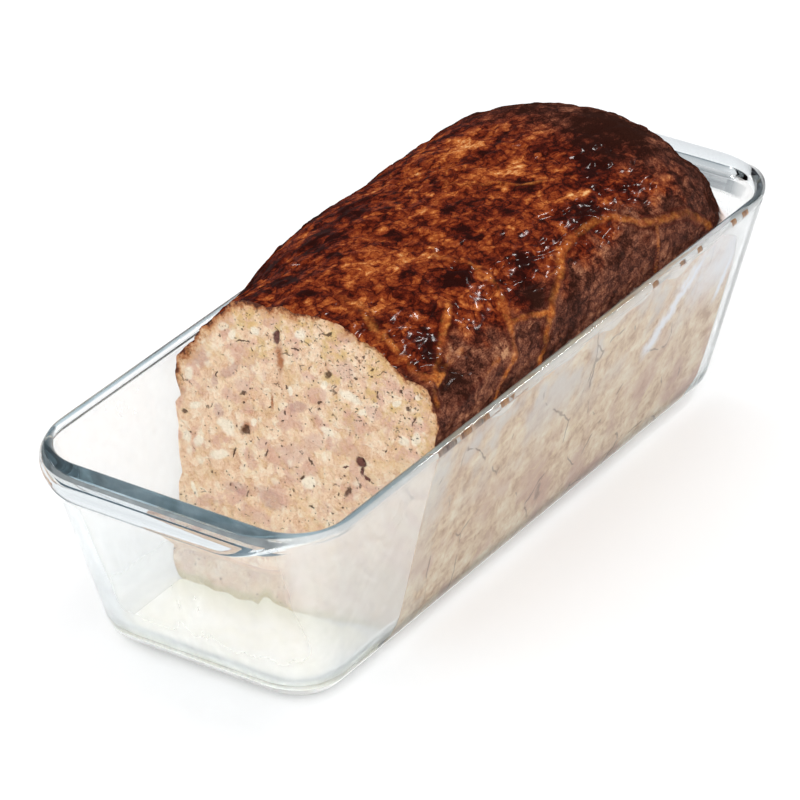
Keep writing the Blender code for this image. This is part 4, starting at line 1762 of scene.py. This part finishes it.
SPECKS = tuple(Speck(*row) for row in (
    (119.5, 3.0, 2.2, 1.1), (112.0, 3.4, 1.6, 1.2), (89.0, 2.8, 1.7, 0.9), (77.5, 2.6, 2.6, 0.9),
    (60.0, 3.0, 2.0, 0.8), (54.0, 2.4, 1.0, 0.6), (-22.5, 2.6, 2.2, 0.6), (-29.0, 2.3, 5.5, 0.9),
    (-33.5, 3.2, 2.4, 1.0), (-39.0, 2.6, 4.0, 0.7), (-44.5, 2.9, 2.0, 0.9), (-50.0, 2.2, 5.5, 0.8),
    (-56.0, 2.9, 3.4, 1.5), (-61.5, 2.2, 3.4, 0.7)))


@dataclass(frozen=True)
class BakedOnSpecks:
    """The brown smears left along the right rim by the juices."""

    dish: GlassDish
    specks: tuple[Speck, ...] = SPECKS
    thickness: float = 0.0004
    wander: float = 0.35
    lumpiness: float = 1.6

    def build(self, grease: PlainGrease) -> bpy.types.Object:
        """The smears: flattened, uneven blobs that sit in the face of the glass.

        Args:
            grease: Their finish.

        Returns:
            The piece.
        """
        bm = bmesh.new()
        lean = math.atan2(self.dish.mouth_half_width - self.dish.foot_half_width, self.dish.height)
        for speck in self.specks:
            verts = bmesh.ops.create_icosphere(bm, subdivisions=3, radius=1.0)["verts"]
            z = self.dish.height - speck.below_rim * MM
            x = float(self.dish.cavity(np.array(z), 0.0)[1])
            for vert in verts:
                place = vert.co * self.lumpiness + Vector((speck.along, 0, 0))
                vert.co = vert.co * (1 + self.wander * noise.noise(place))
            bmesh.ops.scale(bm, verts=verts,
                            vec=(self.thickness, speck.half_along * MM, speck.half_up * MM))
            bmesh.ops.rotate(bm, verts=verts, matrix=Matrix.Rotation(lean, 3, "Y"))
            bmesh.ops.translate(bm, verts=verts, vec=(x, speck.along * MM, z))
        for face in bm.faces:
            face.smooth = True
        return add_piece(finished_mesh(bm, "baked_on_specks"), [grease.material()])


# --- Studio -------------------------------------------------------------------------------------


@dataclass(frozen=True)
class SoftBox:
    """A square soft light that points at the dish."""

    name: str
    place: tuple[float, float, float]
    side: float
    watts: float

    def build(self, aim: Vector) -> None:
        """Put the light in the scene.

        Args:
            aim: The point that it is turned to.
        """
        light = bpy.data.lights.new(self.name, "AREA")
        light.shape = "SQUARE"
        light.size = self.side
        light.energy = self.watts
        lamp = bpy.data.objects.new(self.name, light)
        place = Vector(self.place)
        lamp.location = place
        lamp.rotation_euler = (aim - place).to_track_quat("-Z", "Y").to_euler()
        bpy.context.scene.collection.objects.link(lamp)


@dataclass(frozen=True)
class Studio:
    """A plain pale floor, soft lights and the camera, whose angles are in degrees."""

    azimuth: float = 32.777
    elevation: float = 29.811
    roll: float = 0.249
    distance: float = 1.7998
    target: tuple[float, float, float] = (-0.0835, 0.1179, -0.0442)
    lens: float = 224.084
    sensor: float = 36.0
    floor_half_side: float = 12.0
    floor_gap: float = 0.0003
    floor_light: Colour = (0.93, 0.93, 0.93)
    floor_dark: Colour = (0.91, 0.91, 0.91)
    floor_mottle: float = 0.4
    room_light: Colour = (0.96, 0.96, 0.965)
    room_through_glass: Stops = ((0.40, (1.0, 1.0, 1.0)), (0.85, (0.16, 0.21, 0.24)))
    room_in_gloss: Stops = ((0.03, (0.75, 0.72, 0.76)), (0.26, (0.20, 0.18, 0.20)))
    lights: tuple[SoftBox, ...] = (
        SoftBox("light_back", (0.30, 1.7, 1.6), 0.22, 9.0),
        SoftBox("light_left", (-1.9, 0.6, 1.5), 0.24, 6.0),
        SoftBox("light_front", (1.1, -2.2, 1.2), 1.4, 28.0))
    aim: tuple[float, float, float] = (0.0, 0.0, 0.05)

    def build_floor(self) -> None:
        """The floor, just under the dish's foot."""
        bm = bmesh.new()
        bmesh.ops.create_grid(bm, x_segments=1, y_segments=1, size=self.floor_half_side)
        bmesh.ops.translate(bm, verts=bm.verts, vec=(0.0, 0.0, -self.floor_gap))
        mesh = finished_mesh(bm, "studio_floor")
        surface = Surface("studio_paper")
        colour = surface.paint(self.floor_dark, (self.floor_light, surface.noise(self.floor_mottle)))
        mesh.materials.append(surface.finished(Surface=surface.shader(
            Base_Color=colour, Roughness=0.9, Specular_IOR_Level=0.1)))
        floor = bpy.data.objects.new("studio_floor", mesh)
        bpy.context.scene.collection.objects.link(floor)

    def build_world(self) -> None:
        """A pale room, which reflections and rays through the glass see in shades of their own."""
        world = bpy.data.worlds.new("studio_room")
        world.use_nodes = True
        tree = Tree(world.node_tree)
        direction = tree.node("ShaderNodeTexCoord").outputs["Generated"]
        height = tree.node("ShaderNodeSeparateXYZ", None, {0: direction}).outputs["Z"]
        through, gloss, lit = (
            tree.node("ShaderNodeBackground", None, {"Color": colour}).outputs[0]
            for colour in (tree.ramp(height, self.room_through_glass),
                           tree.ramp(height, self.room_in_gloss), self.room_light))
        path = tree.node("ShaderNodeLightPath").outputs
        seen = tree.blend(path["Is Reflection Ray"], through, gloss)
        whole = tree.blend(path["Diffuse Depth"], seen, lit)
        tree.node("ShaderNodeOutputWorld", None, {"Surface": whole})
        bpy.context.scene.world = world

    def build_camera(self) -> None:
        """The camera, with a long lens."""
        azimuth, elevation, roll = (math.radians(angle) for angle in
                                    (self.azimuth, self.elevation, self.roll))
        back = Vector((math.sin(azimuth) * math.cos(elevation),
                       -math.cos(azimuth) * math.cos(elevation), math.sin(elevation)))
        level = (-back).cross(Vector((0.0, 0.0, 1.0))).normalized()
        upright = level.cross(-back).normalized()
        right = level * math.cos(roll) + upright * math.sin(roll)
        up = upright * math.cos(roll) - level * math.sin(roll)
        turned = Matrix((right, up, back)).transposed().to_4x4()
        turned.translation = Vector(self.target) + back * self.distance
        data = bpy.data.cameras.new("camera")
        data.sensor_width = self.sensor
        data.lens = self.lens
        camera = bpy.data.objects.new("camera", data)
        camera.matrix_world = turned
        bpy.context.scene.collection.objects.link(camera)
        bpy.context.scene.camera = camera

    def build(self) -> None:
        """Floor, room, lights and camera."""
        self.build_camera()
        self.build_world()
        self.build_floor()
        for light in self.lights:
            light.build(Vector(self.aim))
        bpy.context.scene.view_settings.view_transform = "Standard"


def main() -> None:
    """Build the studio and every piece."""
    logging.basicConfig(level=logging.INFO, format="%(message)s")
    Studio().build()
    dish = GlassDish.around_frame()
    dish.build(PressedGlass())
    loaf = Loaf.in_dish(dish)
    loaf.build(LoafSkin(), CutCrumb())
    FatFilm.before_cut(loaf).build(SET_FAT)
    BakedOnSpecks(dish).build(BAKED_JUICE)


if __name__ == "__main__":
    main()
